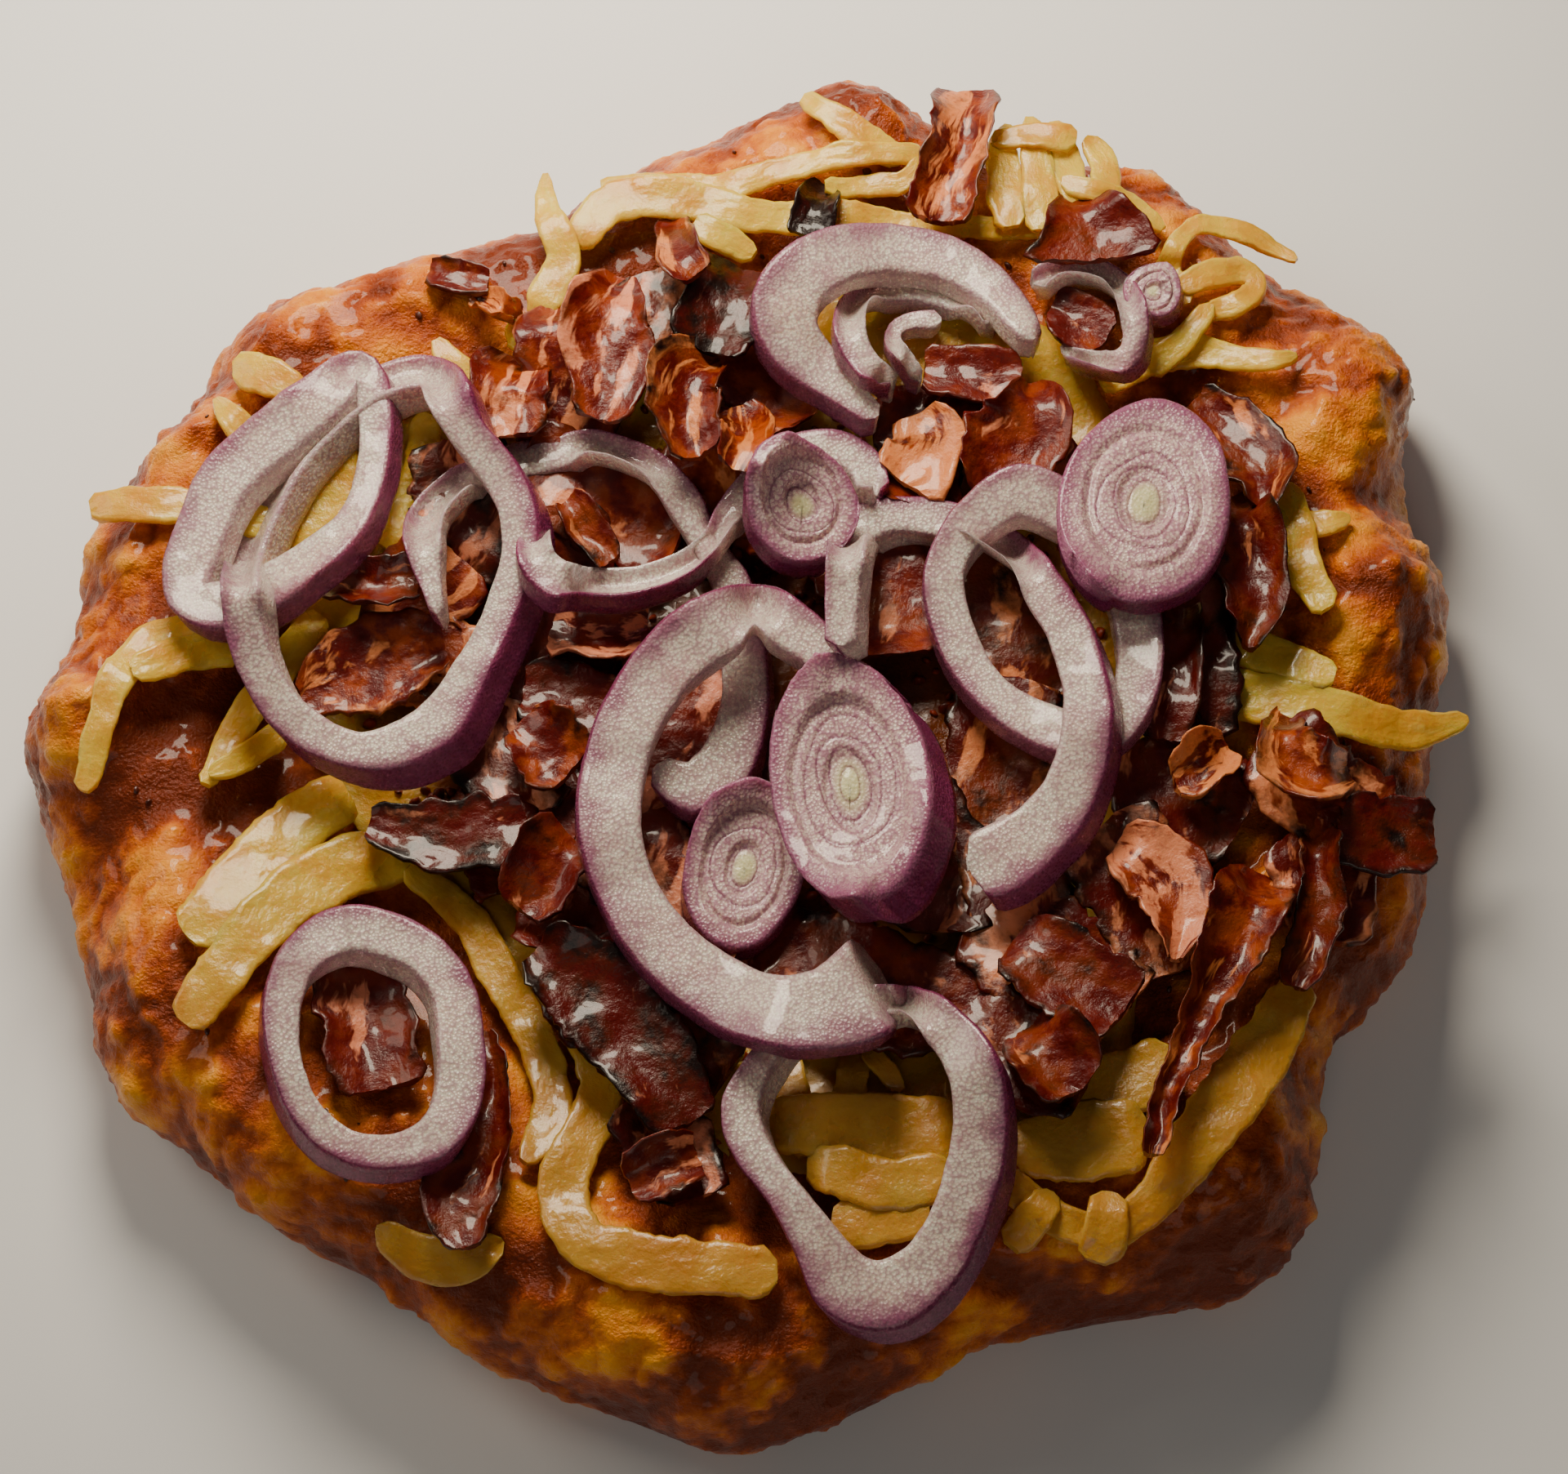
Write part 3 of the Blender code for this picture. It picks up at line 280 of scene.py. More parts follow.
crust_material, tree, shader, place = surface(
    "fried_crust", 0.18, 0.08, 0.12, (1.0, 0.3, 0.05), 0.0014, specular=0.22)
patches = mottle(place, 6.0, 5.0, 0.6)
specks = mottle(place, 1.3, 4.0, 0.65)
# Browning in patches, less the height of the relief: the lumps come out lighter as painted highlight and the
# hollows darker as painted shade
browning_and_relief_shade = mottle(place, 26.0, 3.0) * 0.55 + patches * 0.6 + specks * 0.28 - told(tree, "crest") * 0.5
ramp = put(tree, "ShaderNodeValToRGB", {"Fac": smooth_mask(browning_and_relief_shade, 0.34, 1.12)})
stops = ramp.socket.node.color_ramp.elements
stops[0].position = 0.0
stops[0].color = paint(236, 156, 36)
stops[1].position = 1.0
stops[1].color = paint(112, 38, 0)
for position, colour in ((0.2, (222, 132, 18)), (0.45, (200, 102, 4)), (0.75, (158, 64, 0))):
    stops.new(position).color = paint(*colour)
finish_surface(shader, ramp, (patches, 0.3, 0.16), (specks * 0.6 + mottle(place, 0.45, 3.0), 0.0005, 0.75))

crust_tree, given = new_tree("fried_crust_relief", (
    "Blister Size", "Blister Height", "Wrinkle Size", "Wrinkle Height", "Crinkle Size", "Crinkle Height",
    "Seed"))
place = put(crust_tree, "GeometryNodeInputPosition")
normal = put(crust_tree, "GeometryNodeInputNormal")
# The underside and the middle, which lies under the cheese, stay plain
shown = smooth_mask(normal.parts()[2], -0.75, -0.2) * smooth_mask((place * (1, 1, 0)).length(), 0.050, 0.068)
seeded = place + given["Seed"]
drift = mottle(seeded, given["Blister Size"], 2.0, 0.5, "Color") * 0.006
cells = put(crust_tree, "ShaderNodeTexVoronoi", {
    "Vector": seeded + drift, "Scale": 1.0 / given["Blister Size"], "Smoothness": 0.55,
}, out="Distance", feature="SMOOTH_F1")
blister = (0.42 - cells) * given["Blister Height"]
folds = abs(mottle(seeded, given["Wrinkle Size"], 3.0, 0.5) - 0.5)
wrinkle = (folds - 0.11) * given["Wrinkle Height"] * 5.0
crinkle = (mottle(seeded, given["Crinkle Size"], 3.0, 0.5) - 0.5) * given["Crinkle Height"]
relief = blister + wrinkle + crinkle * 2.5
raised = put(crust_tree, "GeometryNodeSetPosition", {
    "Geometry": given["Geometry"], "Offset": normal * (relief * shown)})
# The height of the relief is kept as crest; the crust colour uses it for painted highlight on the lumps and
# painted shade in the hollows
crested = put(crust_tree, "GeometryNodeStoreNamedAttribute", {
    "Geometry": raised, "Name": "crest", "Value": relief * 700.0})
x, y, z = place.parts()
resting = put(crust_tree, "GeometryNodeSetPosition", {
    "Geometry": crested, "Position": joined(crust_tree, x, y, z.maths("MAXIMUM", 0.0))})
finish_tree(resting, given)

crust = grown("langos_crust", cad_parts["bread"].data.copy(), crust_tree, {
    "Blister Size": BLISTER_SIZE, "Blister Height": BLISTER_HEIGHT, "Wrinkle Size": WRINKLE_SIZE,
    "Wrinkle Height": WRINKLE_HEIGHT, "Crinkle Size": CRINKLE_SIZE, "Crinkle Height": CRINKLE_HEIGHT,
    "Seed": 0.137, "Material": crust_material,
}, before=(
    ("WELD", {"merge_threshold": 0.00001}),
    ("REMESH", {"mode": "VOXEL", "voxel_size": CRUST_CELL * 1.0}),
    ("SMOOTH", {"factor": 0.5, "iterations": 8}),
))
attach(crust, "root")
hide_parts("bread")


# The cheese: pale semi-hard cheese, grated coarsely over the hot bread. It has slumped into soft glossy
# shreds, and melted together into a sheet under the middle of the heap.
MELT_OUTLINE = (
    (1000, 330), (1200, 350), (1350, 420), (1420, 600), (1480, 800), (1460, 1000), (1420, 1240),
    (1370, 1410), (1200, 1480), (1010, 1490), (870, 1400), (700, 1270), (560, 1130), (450, 1030),
    (380, 900), (310, 740), (335, 610), (450, 515), (620, 425), (800, 360),
)
# Shreds as seen in the view: across, down, width, in laying order
SHREDS = (
    ((980, 118, 22), (1020, 140, 34), (1060, 170, 42), (1105, 192, 28)),
    ((735, 225, 20), (800, 222, 30), (880, 225, 34), (960, 205, 30), (1040, 185, 28), (1130, 188, 24)),
    ((705, 300, 36), (735, 255, 50), (790, 238, 52), (860, 245, 48), (930, 262, 40), (1045, 268, 40)),
    ((668, 212, 14), (672, 260, 36), (690, 310, 44), (668, 360, 46), (655, 400, 24)),
    ((850, 270, 30), (885, 290, 36), (925, 312, 24)),
    ((1010, 225, 24), (1060, 225, 26), (1110, 218, 24), (1124, 192, 16)),
    ((1005, 258, 44), (1080, 268, 32), (1150, 272, 26), (1230, 275, 26), (1300, 278, 22)),
    ((1232, 150, 22), (1228, 205, 44), (1238, 275, 40)),
    ((1262, 140, 24), (1272, 205, 44), (1275, 280, 44)),
    ((1292, 148, 26), (1304, 195, 40), (1318, 245, 30)),
    ((1330, 172, 24), (1352, 196, 40), (1350, 240, 34), (1322, 268, 30)),
    ((1215, 172, 20), (1262, 162, 32), (1318, 170, 32)),
    ((1300, 222, 22), (1345, 232, 26), (1385, 250, 30), (1425, 278, 18)),
    ((1450, 372, 28), (1432, 330, 28), (1445, 292, 26), (1480, 273, 26), (1530, 286, 26), (1588, 318, 12)),
    ((1440, 348, 28), (1490, 330, 34), (1535, 335, 36), (1525, 365, 34), (1475, 380, 24)),
    ((1350, 470, 30), (1430, 430, 44), (1490, 432, 34), (1545, 440, 26), (1590, 434, 12)),
    ((1482, 372, 22), (1455, 410, 32), (1405, 450, 36)),
    ((1430, 655, 40), (1520, 640, 40), (1575, 640, 46), (1615, 640, 36), (1655, 634, 16)),
    ((1578, 590, 26), (1582, 640, 50), (1596, 690, 48), (1625, 745, 38)),
    ((1450, 775, 46), (1540, 795, 48), (1635, 830, 38)),
    ((1450, 842, 56), (1560, 855, 62), (1650, 875, 54), (1730, 893, 48), (1796, 880, 18)),
    ((112, 622, 38), (160, 615, 44), (240, 620, 40), (330, 640, 40)),
    ((285, 452, 44), (325, 458, 50), (380, 490, 34), (440, 530, 34)),
    ((262, 486, 18), (295, 525, 40), (340, 570, 40)),
    ((102, 966, 30), (120, 900, 36), (140, 832, 44), (180, 788, 44), (240, 765, 42), (350, 745, 40)),
    ((160, 820, 36), (210, 803, 44), (290, 790, 44)),
    ((250, 958, 24), (290, 890, 38), (340, 820, 44), (392, 750, 40)),
    ((255, 948, 18), (300, 925, 30), (350, 890, 28)),
    ((228, 1142, 60), (290, 1080, 74), (350, 1020, 76), (425, 965, 60)),
    ((225, 1252, 50), (270, 1190, 66), (330, 1120, 70), (410, 1065, 76), (500, 1050, 66)),
    ((500, 1062, 30), (570, 1120, 46), (610, 1190, 48), (655, 1270, 50), (676, 1340, 48), (664, 1390, 44),
     (640, 1420, 26)),
    ((690, 1230, 40), (735, 1310, 56), (720, 1380, 60), (690, 1440, 62), (705, 1510, 64), (770, 1540, 70),
     (850, 1550, 72), (950, 1555, 60)),
    ((960, 1290, 36), (975, 1360, 44), (985, 1415, 28)),
    ((1048, 1290, 36), (1038, 1350, 44), (1010, 1408, 34)),
    ((1060, 1280, 26), (1080, 1305, 26), (1102, 1336, 16)),
    ((940, 1375, 70), (1050, 1378, 84), (1180, 1385, 84)),
    ((985, 1455, 90), (1080, 1465, 110), (1170, 1450, 90)),
    ((1230, 1440, 40), (1290, 1490, 44), (1350, 1506, 46), (1402, 1480, 50), (1450, 1420, 68),
     (1510, 1340, 80), (1560, 1262, 70), (1594, 1198, 50)),
    ((1238, 1525, 44), (1262, 1495, 46), (1290, 1460, 40)),
    ((1342, 1545, 54), (1352, 1510, 56), (1360, 1460, 50)),
    ((1322, 1100, 16), (1312, 1180, 32), (1298, 1238, 16)),
    ((1264, 1100, 50), (1256, 1180, 60), (1246, 1255, 50)),
    ((395, 505, 50), (405, 600, 84), (390, 680, 80), (335, 725, 60)),
    ((520, 505, 36), (512, 590, 50), (470, 670, 64)),
    ((680, 500, 60), (710, 560, 46), (735, 620, 48), (758, 678, 24)),
    ((535, 415, 26), (560, 448, 34), (600, 480, 28)),
    ((618, 412, 40), (655, 405, 40), (690, 420, 30)),
    ((1240, 1405, 66), (1320, 1398, 100), (1405, 1385, 84)),
    ((1300, 1330, 60), (1380, 1325, 84), (1440, 1290, 60)),
)
SHRED_ALONE = ((460, 1505, 34), (510, 1535, 50), (570, 1545, 48), (615, 1520, 28))
SHRED_THICK = 1.0
COVERED_SHRED_DOWN = 1.3
WHOLE_SHRED = 62
LEAST_STRAND = 14
MELT_THICK = 1.8
MELT_LEVEL = 17.0
STATION = 0.8
# Where across its half width a band feels the solid under it
FELT_AT = 0.7


def smooth_route(points, closed, count):
    """`count` even stations on a smooth curve through the points, with every column carried along."""
    points = np.array(points, float)
    if closed:
        padded = np.vstack([points[-1:], points, points[:2]])
    else:
        padded = np.vstack([2 * points[0] - points[1], points, 2 * points[-1] - points[-2]])
    fine = []
    for i in range(len(padded) - 3):
        a, b, c, d = padded[i:i + 4]
        for t in np.linspace(0, 1, 12, endpoint=i == len(padded) - 4):
            curve = 2 * b + (c - a) * t + (2 * a - 5 * b + 4 * c - d) * t**2
            fine.append(0.5 * (curve + (3 * b - a - 3 * c + d) * t**3))
    fine = np.array(fine)
    travelled = np.concatenate([[0], np.cumsum(np.hypot(*np.diff(fine[:, :2], axis=0).T))])
    wanted = np.linspace(0, travelled[-1], count, endpoint=not closed)
    stations = np.stack([np.interp(wanted, travelled, column) for column in fine.T], axis=1)
    return stations, wanted / UNITS_PER_MM


def unit_normals(places, closed):
    """Sideways unit vectors of a route in the view."""
    if closed:
        along = np.roll(places, -1, axis=0) - np.roll(places, 1, axis=0)
    else:
        along = np.gradient(places, axis=0)
    along /= np.linalg.norm(along, axis=1)[:, None]
    return np.stack([-along[:, 1], along[:, 0]], axis=1)


def evened(values, closed, times=2):
    """Values along a route, smoothed."""
    for _ in range(times):
        padded = np.pad(values, 1, mode="wrap" if closed else "edge")
        values = (padded[:-2] + 2 * padded[1:-1] + padded[2:]) / 4
    return values


def felt(node):
    """A solid to be felt from above."""
    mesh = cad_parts[node].data
    places = [point.co / MM for point in mesh.vertices]
    return BVHTree.FromPolygons(places, [face.vertices for face in mesh.polygons])


def top_at(solid, x, y, otherwise):
    """Height of a solid's upper side at a plan place, or `otherwise` beside it."""
    hit = solid.ray_cast(Vector((x, y, 90.0)), Vector((0, 0, -1)))[0]
    return otherwise if hit is None else hit.z


def band(solid, route, closed, thick, lean=(0, 0), level=24.0, covered=None, blunt=1.0, skin=0.0,
         tone=(0, 0, 0), curl=0.0, narrow=0.25):
    """The guide of a band of food: its middle line on top of its solid, with its width and thickness there.
    Its open ends narrow over `blunt` of its width, and `lean` is how far its underside is set aside."""
    length = np.hypot(*np.diff(np.array(route, float)[:, :2], axis=0).T).sum() / UNITS_PER_MM
    every = STATION * 1.0
    stations, along = smooth_route(route, closed, max(10, round(length / every)))
    places = stations[:, :2]
    widths = stations[:, 2]
    if not closed:
        from_end = np.minimum(along, along[-1] - along)
        reach = np.minimum(1.0, from_end / np.maximum(blunt * widths / UNITS_PER_MM / 2, 0.5))
        widths = widths * (narrow + (1 - narrow) * np.sqrt(1 - (1 - reach) ** 2))
    sideways = unit_normals(places, closed)
    sideways = np.column_stack([evened(column, closed, 5) for column in sideways.T]) * widths[:, None] / 2
    levels = np.full(len(places), float(level))
    for step in range(7):
        found = []
        for place, height in zip(places, levels):
            x, y = laid(*place, height)
            found.append(top_at(solid, x, y, height))
        levels = np.array(found) if step < 3 else (levels + np.array(found)) / 2
    if covered is not None:
        levels = levels - covered(places)
    levels = evened(levels, closed, 3)
    rolls = []
    cups = []
    edges = []
    for place, aside, height in zip(places, sideways, levels):
        right = np.array(laid(*(place + aside), height))
        left = np.array(laid(*(place - aside), height))
        middle = (right + left) / 2
        half = (right - left) / 2
        high = top_at(solid, *(middle + FELT_AT * half), height)
        low = top_at(solid, *(middle - FELT_AT * half), height)
        limit = 0.8 * np.linalg.norm(half)
        rolls.append(np.clip((high - low) / (2 * FELT_AT), -limit, limit))
        cups.append(np.clip((high + low) / 2 - height, -1.0, 1.6) / FELT_AT**2)
        edges.append((*middle, *half))
    edges = np.array(edges)
    rolls = evened(np.array(rolls), closed, 3)
    cups = evened(np.array(cups), closed, 3)
    if covered is not None:
        cups[:] = 0.0
        rolls *= 0.3
    cups = cups + curl
    count = len(places)
    return {
        "closed": closed,
        "middle": np.column_stack([edges[:, :2], levels]),
        "side": np.column_stack([edges[:, 2:], rolls]),
        "down": np.tile([-lean[0], -lean[1], -thick], (count, 1)),
        "cup": cups,
        "along": along,
        "skin": np.broadcast_to(np.asarray(skin, float), (count,)) if np.ndim(skin) == 0 else
        np.interp(np.linspace(0, 1, count), *zip(*skin)),
        "tone": np.tile(np.array(tone, float), (count, 1)),
    }


def guide_mesh(name, bands):
    """Guides of several bands as the edges of one mesh, in metres."""
    points = np.concatenate([one["middle"] for one in bands]) * MM
    edges = []
    first = 0
    for one in bands:
        count = len(one["middle"])
        edges += [(first + i, first + i + 1) for i in range(count - 1)]
        if one["closed"]:
            edges.append((first + count - 1, first))
        first += count
    mesh = bpy.data.meshes.new(name)
    mesh.from_pydata(points.tolist(), edges, [])
    for key, scale in (("side", MM), ("down", MM), ("tone", 1.0)):
        values = np.concatenate([one[key] for one in bands]) * scale
        mesh.attributes.new(key, "FLOAT_VECTOR", "POINT").data.foreach_set("vector", values.ravel())
    for key, scale in (("cup", MM), ("along", 1.0), ("skin", 1.0)):
        values = np.concatenate([one[key] for one in bands]) * scale
        mesh.attributes.new(key, "FLOAT", "POINT").data.foreach_set("value", values)
    return mesh


def named(tree, key, kind="FLOAT"):
    """A mesh attribute in a geometry tree."""
    return put(tree, "GeometryNodeInputNamedAttribute", {"Name": key}, data_type=kind)


def swell(place, size, height, detail, roughness=0.5, finer=1.0):
    """An uneven shift with waves about `size` long."""
    return (mottle(place, size, detail, roughness, "Color", finer) - (0.5, 0.5, 0.5)) * height


band_tree, given = new_tree("food_band", (
    "Flatness", "Rounding", "Points Round", "Ragged", "Ragged Size", "Crinkle", "Crinkle Size",
    "Fine Crinkle", "Seed"), whole=("Points Round",))
spot = put(band_tree, "GeometryNodeInputPosition")
kept = put(band_tree, "GeometryNodeStoreNamedAttribute", {
    "Geometry": given["Geometry"], "Name": "middle", "Value": spot}, data_type="FLOAT_VECTOR")
line = put(band_tree, "GeometryNodeMeshToCurve", {"Mesh": kept})
outline = put(band_tree, "GeometryNodeCurvePrimitiveQuadrilateral", {
    "Width": 2.0, "Height": given["Flatness"] * 2.0})
rounded = put(band_tree, "GeometryNodeFilletCurve", {
    "Curve": outline, "Radius": given["Rounding"], "Count": 4}, mode="POLY")
even = put(band_tree, "GeometryNodeResampleCurve", {"Curve": rounded, "Count": given["Points Round"]})
across, upward, _ = spot.parts()
outline = put(band_tree, "GeometryNodeStoreNamedAttribute", {
    "Geometry": even, "Name": "section", "Value": joined(band_tree, across, upward / given["Flatness"]),
}, data_type="FLOAT_VECTOR")
swept = put(band_tree, "GeometryNodeCurveToMesh", {
    "Curve": line, "Profile Curve": outline, "Fill Caps": True})
across, upward, _ = named(band_tree, "section", "FLOAT_VECTOR").parts()
edge = joined(band_tree, named(band_tree, "along") / given["Ragged Size"], across.maths("SIGN") * 3.7,
              given["Seed"])
ragged = (mottle(edge, 1.0, 3.0, 0.6) - 0.5) * given["Ragged"]
sideways = named(band_tree, "side", "FLOAT_VECTOR") * (across * (ragged + 1.0))
downward = named(band_tree, "down", "FLOAT_VECTOR") * ((1.0 - upward) * 0.5)
bent = joined(band_tree, z=across * across * named(band_tree, "cup"))
formed = put(band_tree, "GeometryNodeSetPosition", {
    "Geometry": swept, "Position": named(band_tree, "middle", "FLOAT_VECTOR") + sideways + downward + bent})
place = spot + given["Seed"]
wobble = swell(place, given["Crinkle Size"], given["Crinkle"], 3.0, 0.6)
finer = swell(place, given["Crinkle Size"], given["Fine Crinkle"], 2.0, finer=3.6)
finish_tree(put(band_tree, "GeometryNodeSetPosition", {"Geometry": formed, "Offset": wobble + finer}), given)


def plan_cover(routes, drop, cell=12.0):
    """For bands laid one over another: how far one of them lies down where a later one crosses over it."""
    grid = np.full((200, 200), -1)
    for number, route in enumerate(routes):
        stations, _ = smooth_route(route, False, 60)
        sideways = unit_normals(stations[:, :2], False) * stations[:, 2:3] / 2
        for share in np.linspace(-0.85, 0.85, 7):
            spots = ((stations[:, :2] + sideways * share) / cell).astype(int).clip(0, 199)
            grid[spots[:, 0], spots[:, 1]] = number

    def covered(number):
        def dropped(places):
            spots = (places / cell).astype(int).clip(0, 199)
            return np.where(grid[spots[:, 0], spots[:, 1]] > number, drop, 0.0)
        return dropped

    return covered


cheese_material, tree, shader, place = surface(
    "soft_cheese", 0.26, 0.07, 0.45, (1.0, 0.5, 0.08), 0.0024, specular=0.3, clear=0.34, bend=1.4)
across = told(tree, "section", "Vector").parts()[0]
fibre_and_highlight = joined(tree, told(tree, "along") * 0.2, across * 1.6)
fibre_and_highlight = mottle(fibre_and_highlight + place * 0.03, 1.0, 3.0)
patches = mottle(place, 7.0, 3.0)
colour = mixed(smooth_mask(patches, 0.35, 0.7), paint(248, 206, 76), paint(230, 166, 44))
# Streaks along the shreds: the grain of the grated cheese, with their lighter colour a painted highlight
colour = mixed(smooth_mask(fibre_and_highlight, 0.5, 0.8) * 0.6, colour, paint(250, 222, 112))
# The middle is darkened brown, partly fat from the bacon stained into it and partly painted shade under the
# heap; the near side is darkened as painted shade
fat_stain_and_heap_shade = (place * (1.0, 1.15, 0.0)).length() + mottle(place, 9.0) * 30.0
colour = mixed(smooth_mask(fat_stain_and_heap_shade, 66.0, 50.0), colour, paint(128, 58, 6))
# Painted shade: the near side of the cheese is darker
painted_near_side_shade = place.parts()[1] + mottle(place, 6.0) * 30.0
colour = mixed(smooth_mask(painted_near_side_shade, 0.0, -40.0) * 0.55, colour, paint(186, 122, 58))
finish_surface(shader, colour, (patches, 0.3, 0.12), (fibre_and_highlight + mottle(place, 0.9), 0.0003, 0.7))


def strands(route, number):
    """A wide bundle of shreds parted into strands that sway a little beside one another."""
    stations, _ = smooth_route(route, False, 2 * len(route))
    widths = stations[:, 2]
    aside = unit_normals(stations[:, :2], False)
    many = int(np.clip(round(widths.mean() / WHOLE_SHRED), 1, 3))
    if many == 1:
        return [stations]
    parted = []
    for strand in range(many):
        share = (2 * strand + 1) / many - 1
        sway = [noise.noise(Vector((number * 3.1, strand * 1.7, i * 0.45))) for i in range(len(stations))]
        offset = widths / 2 * (share * 0.9 + 0.34 * np.array(sway))
        one = stations.copy()
        one[:, :2] += aside * offset[:, None]
        one[:, 2] = np.maximum(widths / many * 1.25, LEAST_STRAND)
        parted.append(one[strand % 2:len(one) - (strand + number) % 2] if len(one) > 5 else one)
    return parted


cheese_solid = felt("cheese_shreds")
covered = plan_cover(SHREDS, COVERED_SHRED_DOWN)
guides = []
for number, route in enumerate(SHREDS):
    for strand, parted in enumerate(strands(route, number)):
        guide = band(cheese_solid, parted, False, SHRED_THICK, covered=covered(number), blunt=0.6, narrow=0.5)
        guide["middle"][:, 2] += 0.35 * noise.noise(Vector((number * 1.3, strand * 2.9, 0.5)))
        guides.append(guide)
shreds = grown("grated_cheese", guide_mesh("grated_cheese_guides", guides), band_tree, {
    "Flatness": 0.2, "Rounding": 0.07, "Points Round": 24, "Ragged": 0.5,
    "Ragged Size": 2.2, "Crinkle": 0.0016, "Crinkle Size": 0.0055, "Fine Crinkle": 0.0003, "Seed": 2.31,
    "Material": cheese_material})

outline = np.array(MELT_OUTLINE, float)
outline, _ = smooth_route(np.column_stack([outline, outline[:, 0]]), True, 160)
outline = np.array([laid(across, down, MELT_LEVEL) for across, down in outline[:, :2]])
middle = outline.mean(axis=0)
rings = 60
points = []
for share in np.linspace(0, 1, rings + 1)[1:]:
    for spot in middle + (outline - middle) * share:
        points.append(spot)
points = np.array(points)
tops = np.array([top_at(cheese_solid, x, y, MELT_LEVEL) for x, y in points]).reshape(rings, -1)
# The sheet keeps under the shreds: the lowest height round about, smoothed
lowest = tops.copy()
for turn in range(-4, 5):
    for out in range(-3, 4):
        moved = np.roll(tops, turn, axis=1)
        rows = np.clip(np.arange(rings) + out, 0, rings - 1)
        lowest = np.minimum(lowest, moved[rows])
for _ in range(4):
    rows = np.pad(lowest, ((1, 1), (0, 0)), mode="edge")
    beside = np.roll(lowest, 1, axis=1), np.roll(lowest, -1, axis=1)
    lowest = (rows[:-2] + rows[2:] + 2 * lowest + beside[0] + beside[1]) / 6
around = lowest.shape[1]
upper = [(*spot, high) for spot, high in zip(points, lowest.ravel())]
upper.append((*middle, lowest[0].mean()))
thin = np.minimum(1.0, (1.0 - np.linspace(0, 1, rings + 1)[1:]) * 14)[:, None] * MELT_THICK
lower = [(*spot, high) for spot, high in zip(points, (lowest - np.broadcast_to(thin, lowest.shape)).ravel())]
lower.append((*middle, lowest[0].mean() - MELT_THICK))
faces = []
size = len(upper)
for first, turned in ((0, False), (size, True)):
    for i in range(rings - 1):
        for j in range(around):
            k = (j + 1) % around
            face = [first + i * around + j, first + (i + 1) * around + j, first + (i + 1) * around + k,
                    first + i * around + k]
            faces.append(face[::-1] if turned else face)
    for j in range(around):
        face = [first + size - 1, first + j, first + (j + 1) % around]
        faces.append(face[::-1] if turned else face)
for j in range(around):
    a = (rings - 1) * around + j
    b = (rings - 1) * around + (j + 1) % around
    faces.append([a, size + a, size + b, b])
melt = bpy.data.meshes.new("melted_cheese")
melt.from_pydata((np.array(upper + lower) * MM).tolist(), [], faces)

uneven_tree, given = new_tree("gentle_unevenness", ("Wave Size", "Wave Height", "Detail", "Seed"))
place = put(uneven_tree, "GeometryNodeInputPosition") + given["Seed"]
finish_tree(put(uneven_tree, "GeometryNodeSetPosition", {
    "Geometry": given["Geometry"],
    "Offset": swell(place, given["Wave Size"], given["Wave Height"], given["Detail"])}), given)
melted = grown("melted_cheese_sheet", melt, uneven_tree, {
    "Wave Size": 0.005, "Wave Height": 0.0022, "Detail": 3.0, "Seed": 0.6, "Material": cheese_material})
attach(shreds, "root")
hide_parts("cheese_shreds")
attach(melted, "root")

alone = grown("loose_shred", guide_mesh("loose_shred_guide", [
    band(felt("cheese_shred_front"), SHRED_ALONE, False, SHRED_THICK, level=20.0)]), band_tree, {
    "Flatness": 0.42, "Rounding": 0.22, "Points Round": 18, "Ragged": 0.4, "Ragged Size": 2.6,
    "Crinkle": 0.0012, "Crinkle Size": 0.005, "Seed": 4.1, "Material": cheese_material})
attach(alone, "root")
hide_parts("cheese_shred_front")


# The bacon: smoked streaky bacon, cut into pieces and fried hard. The lean has gone dark red-brown and
# glossy, the fat amber to pale, and the thin edges have curled and charred.
BACON_BED = (
    ((690, 372, 90), (700, 450, 130), (690, 580, 100)),
    ((800, 330, 80), (815, 400, 120), (800, 470, 110)),
    ((840, 385, 80), (930, 450, 110), (970, 520, 80)),
    ((560, 540, 90), (570, 620, 130), (545, 700, 120)),
    ((640, 560, 80), (740, 610, 140), (830, 660, 110)),
    ((560, 680, 100), (500, 760, 130), (560, 840, 110)),
    ((690, 620, 90), (690, 780, 130), (675, 960, 110)),
    ((820, 760, 110), (860, 870, 150), (830, 1010, 130)),
    ((640, 960, 100), (690, 1060, 140), (690, 1160, 110)),
    ((560, 970, 80), (610, 1030, 120), (640, 1080, 90)),
    ((770, 1000, 120), (800, 1110, 150), (860, 1200, 120)),
    ((700, 1180, 110), (790, 1260, 150), (880, 1330, 110)),
    ((780, 1340, 90), (830, 1410, 110), (850, 1470, 70)),
    ((860, 1130, 110), (1000, 1190, 150), (1200, 1240, 110)),
    ((1030, 640, 110), (1080, 720, 140), (1090, 800, 110)),
    ((1180, 460, 80), (1240, 540, 130), (1280, 620, 100)),
    ((1120, 470, 70), (1130, 550, 110), (1120, 620, 90)),
    ((1190, 680, 110), (1240, 770, 150), (1260, 860, 120)),
    ((1430, 700, 110), (1450, 800, 140), (1450, 900, 120)),
    ((1400, 900, 120), (1450, 970, 150), (1520, 1010, 110)),
    ((1240, 830, 100), (1220, 970, 140), (1260, 1130, 110)),
    ((1210, 1110, 110), (1290, 1180, 160), (1370, 1250, 130)),
    ((1350, 1010, 110), (1410, 1100, 150), (1440, 1190, 120)),
    ((1190, 1230, 80), (1250, 1290, 120), (1330, 1330, 90)),
    ((1560, 900, 90), (1620, 970, 130), (1690, 1010, 100)),
    ((1590, 1010, 90), (1630, 1080, 120), (1620, 1150, 80)),
    ((590, 870, 80), (615, 930, 120), (650, 1000, 100)),
    ((1110, 970, 90), (1150, 1050, 130), (1150, 1140, 110)),
    ((850, 520, 80), (900, 590, 120), (960, 650, 100)),
)
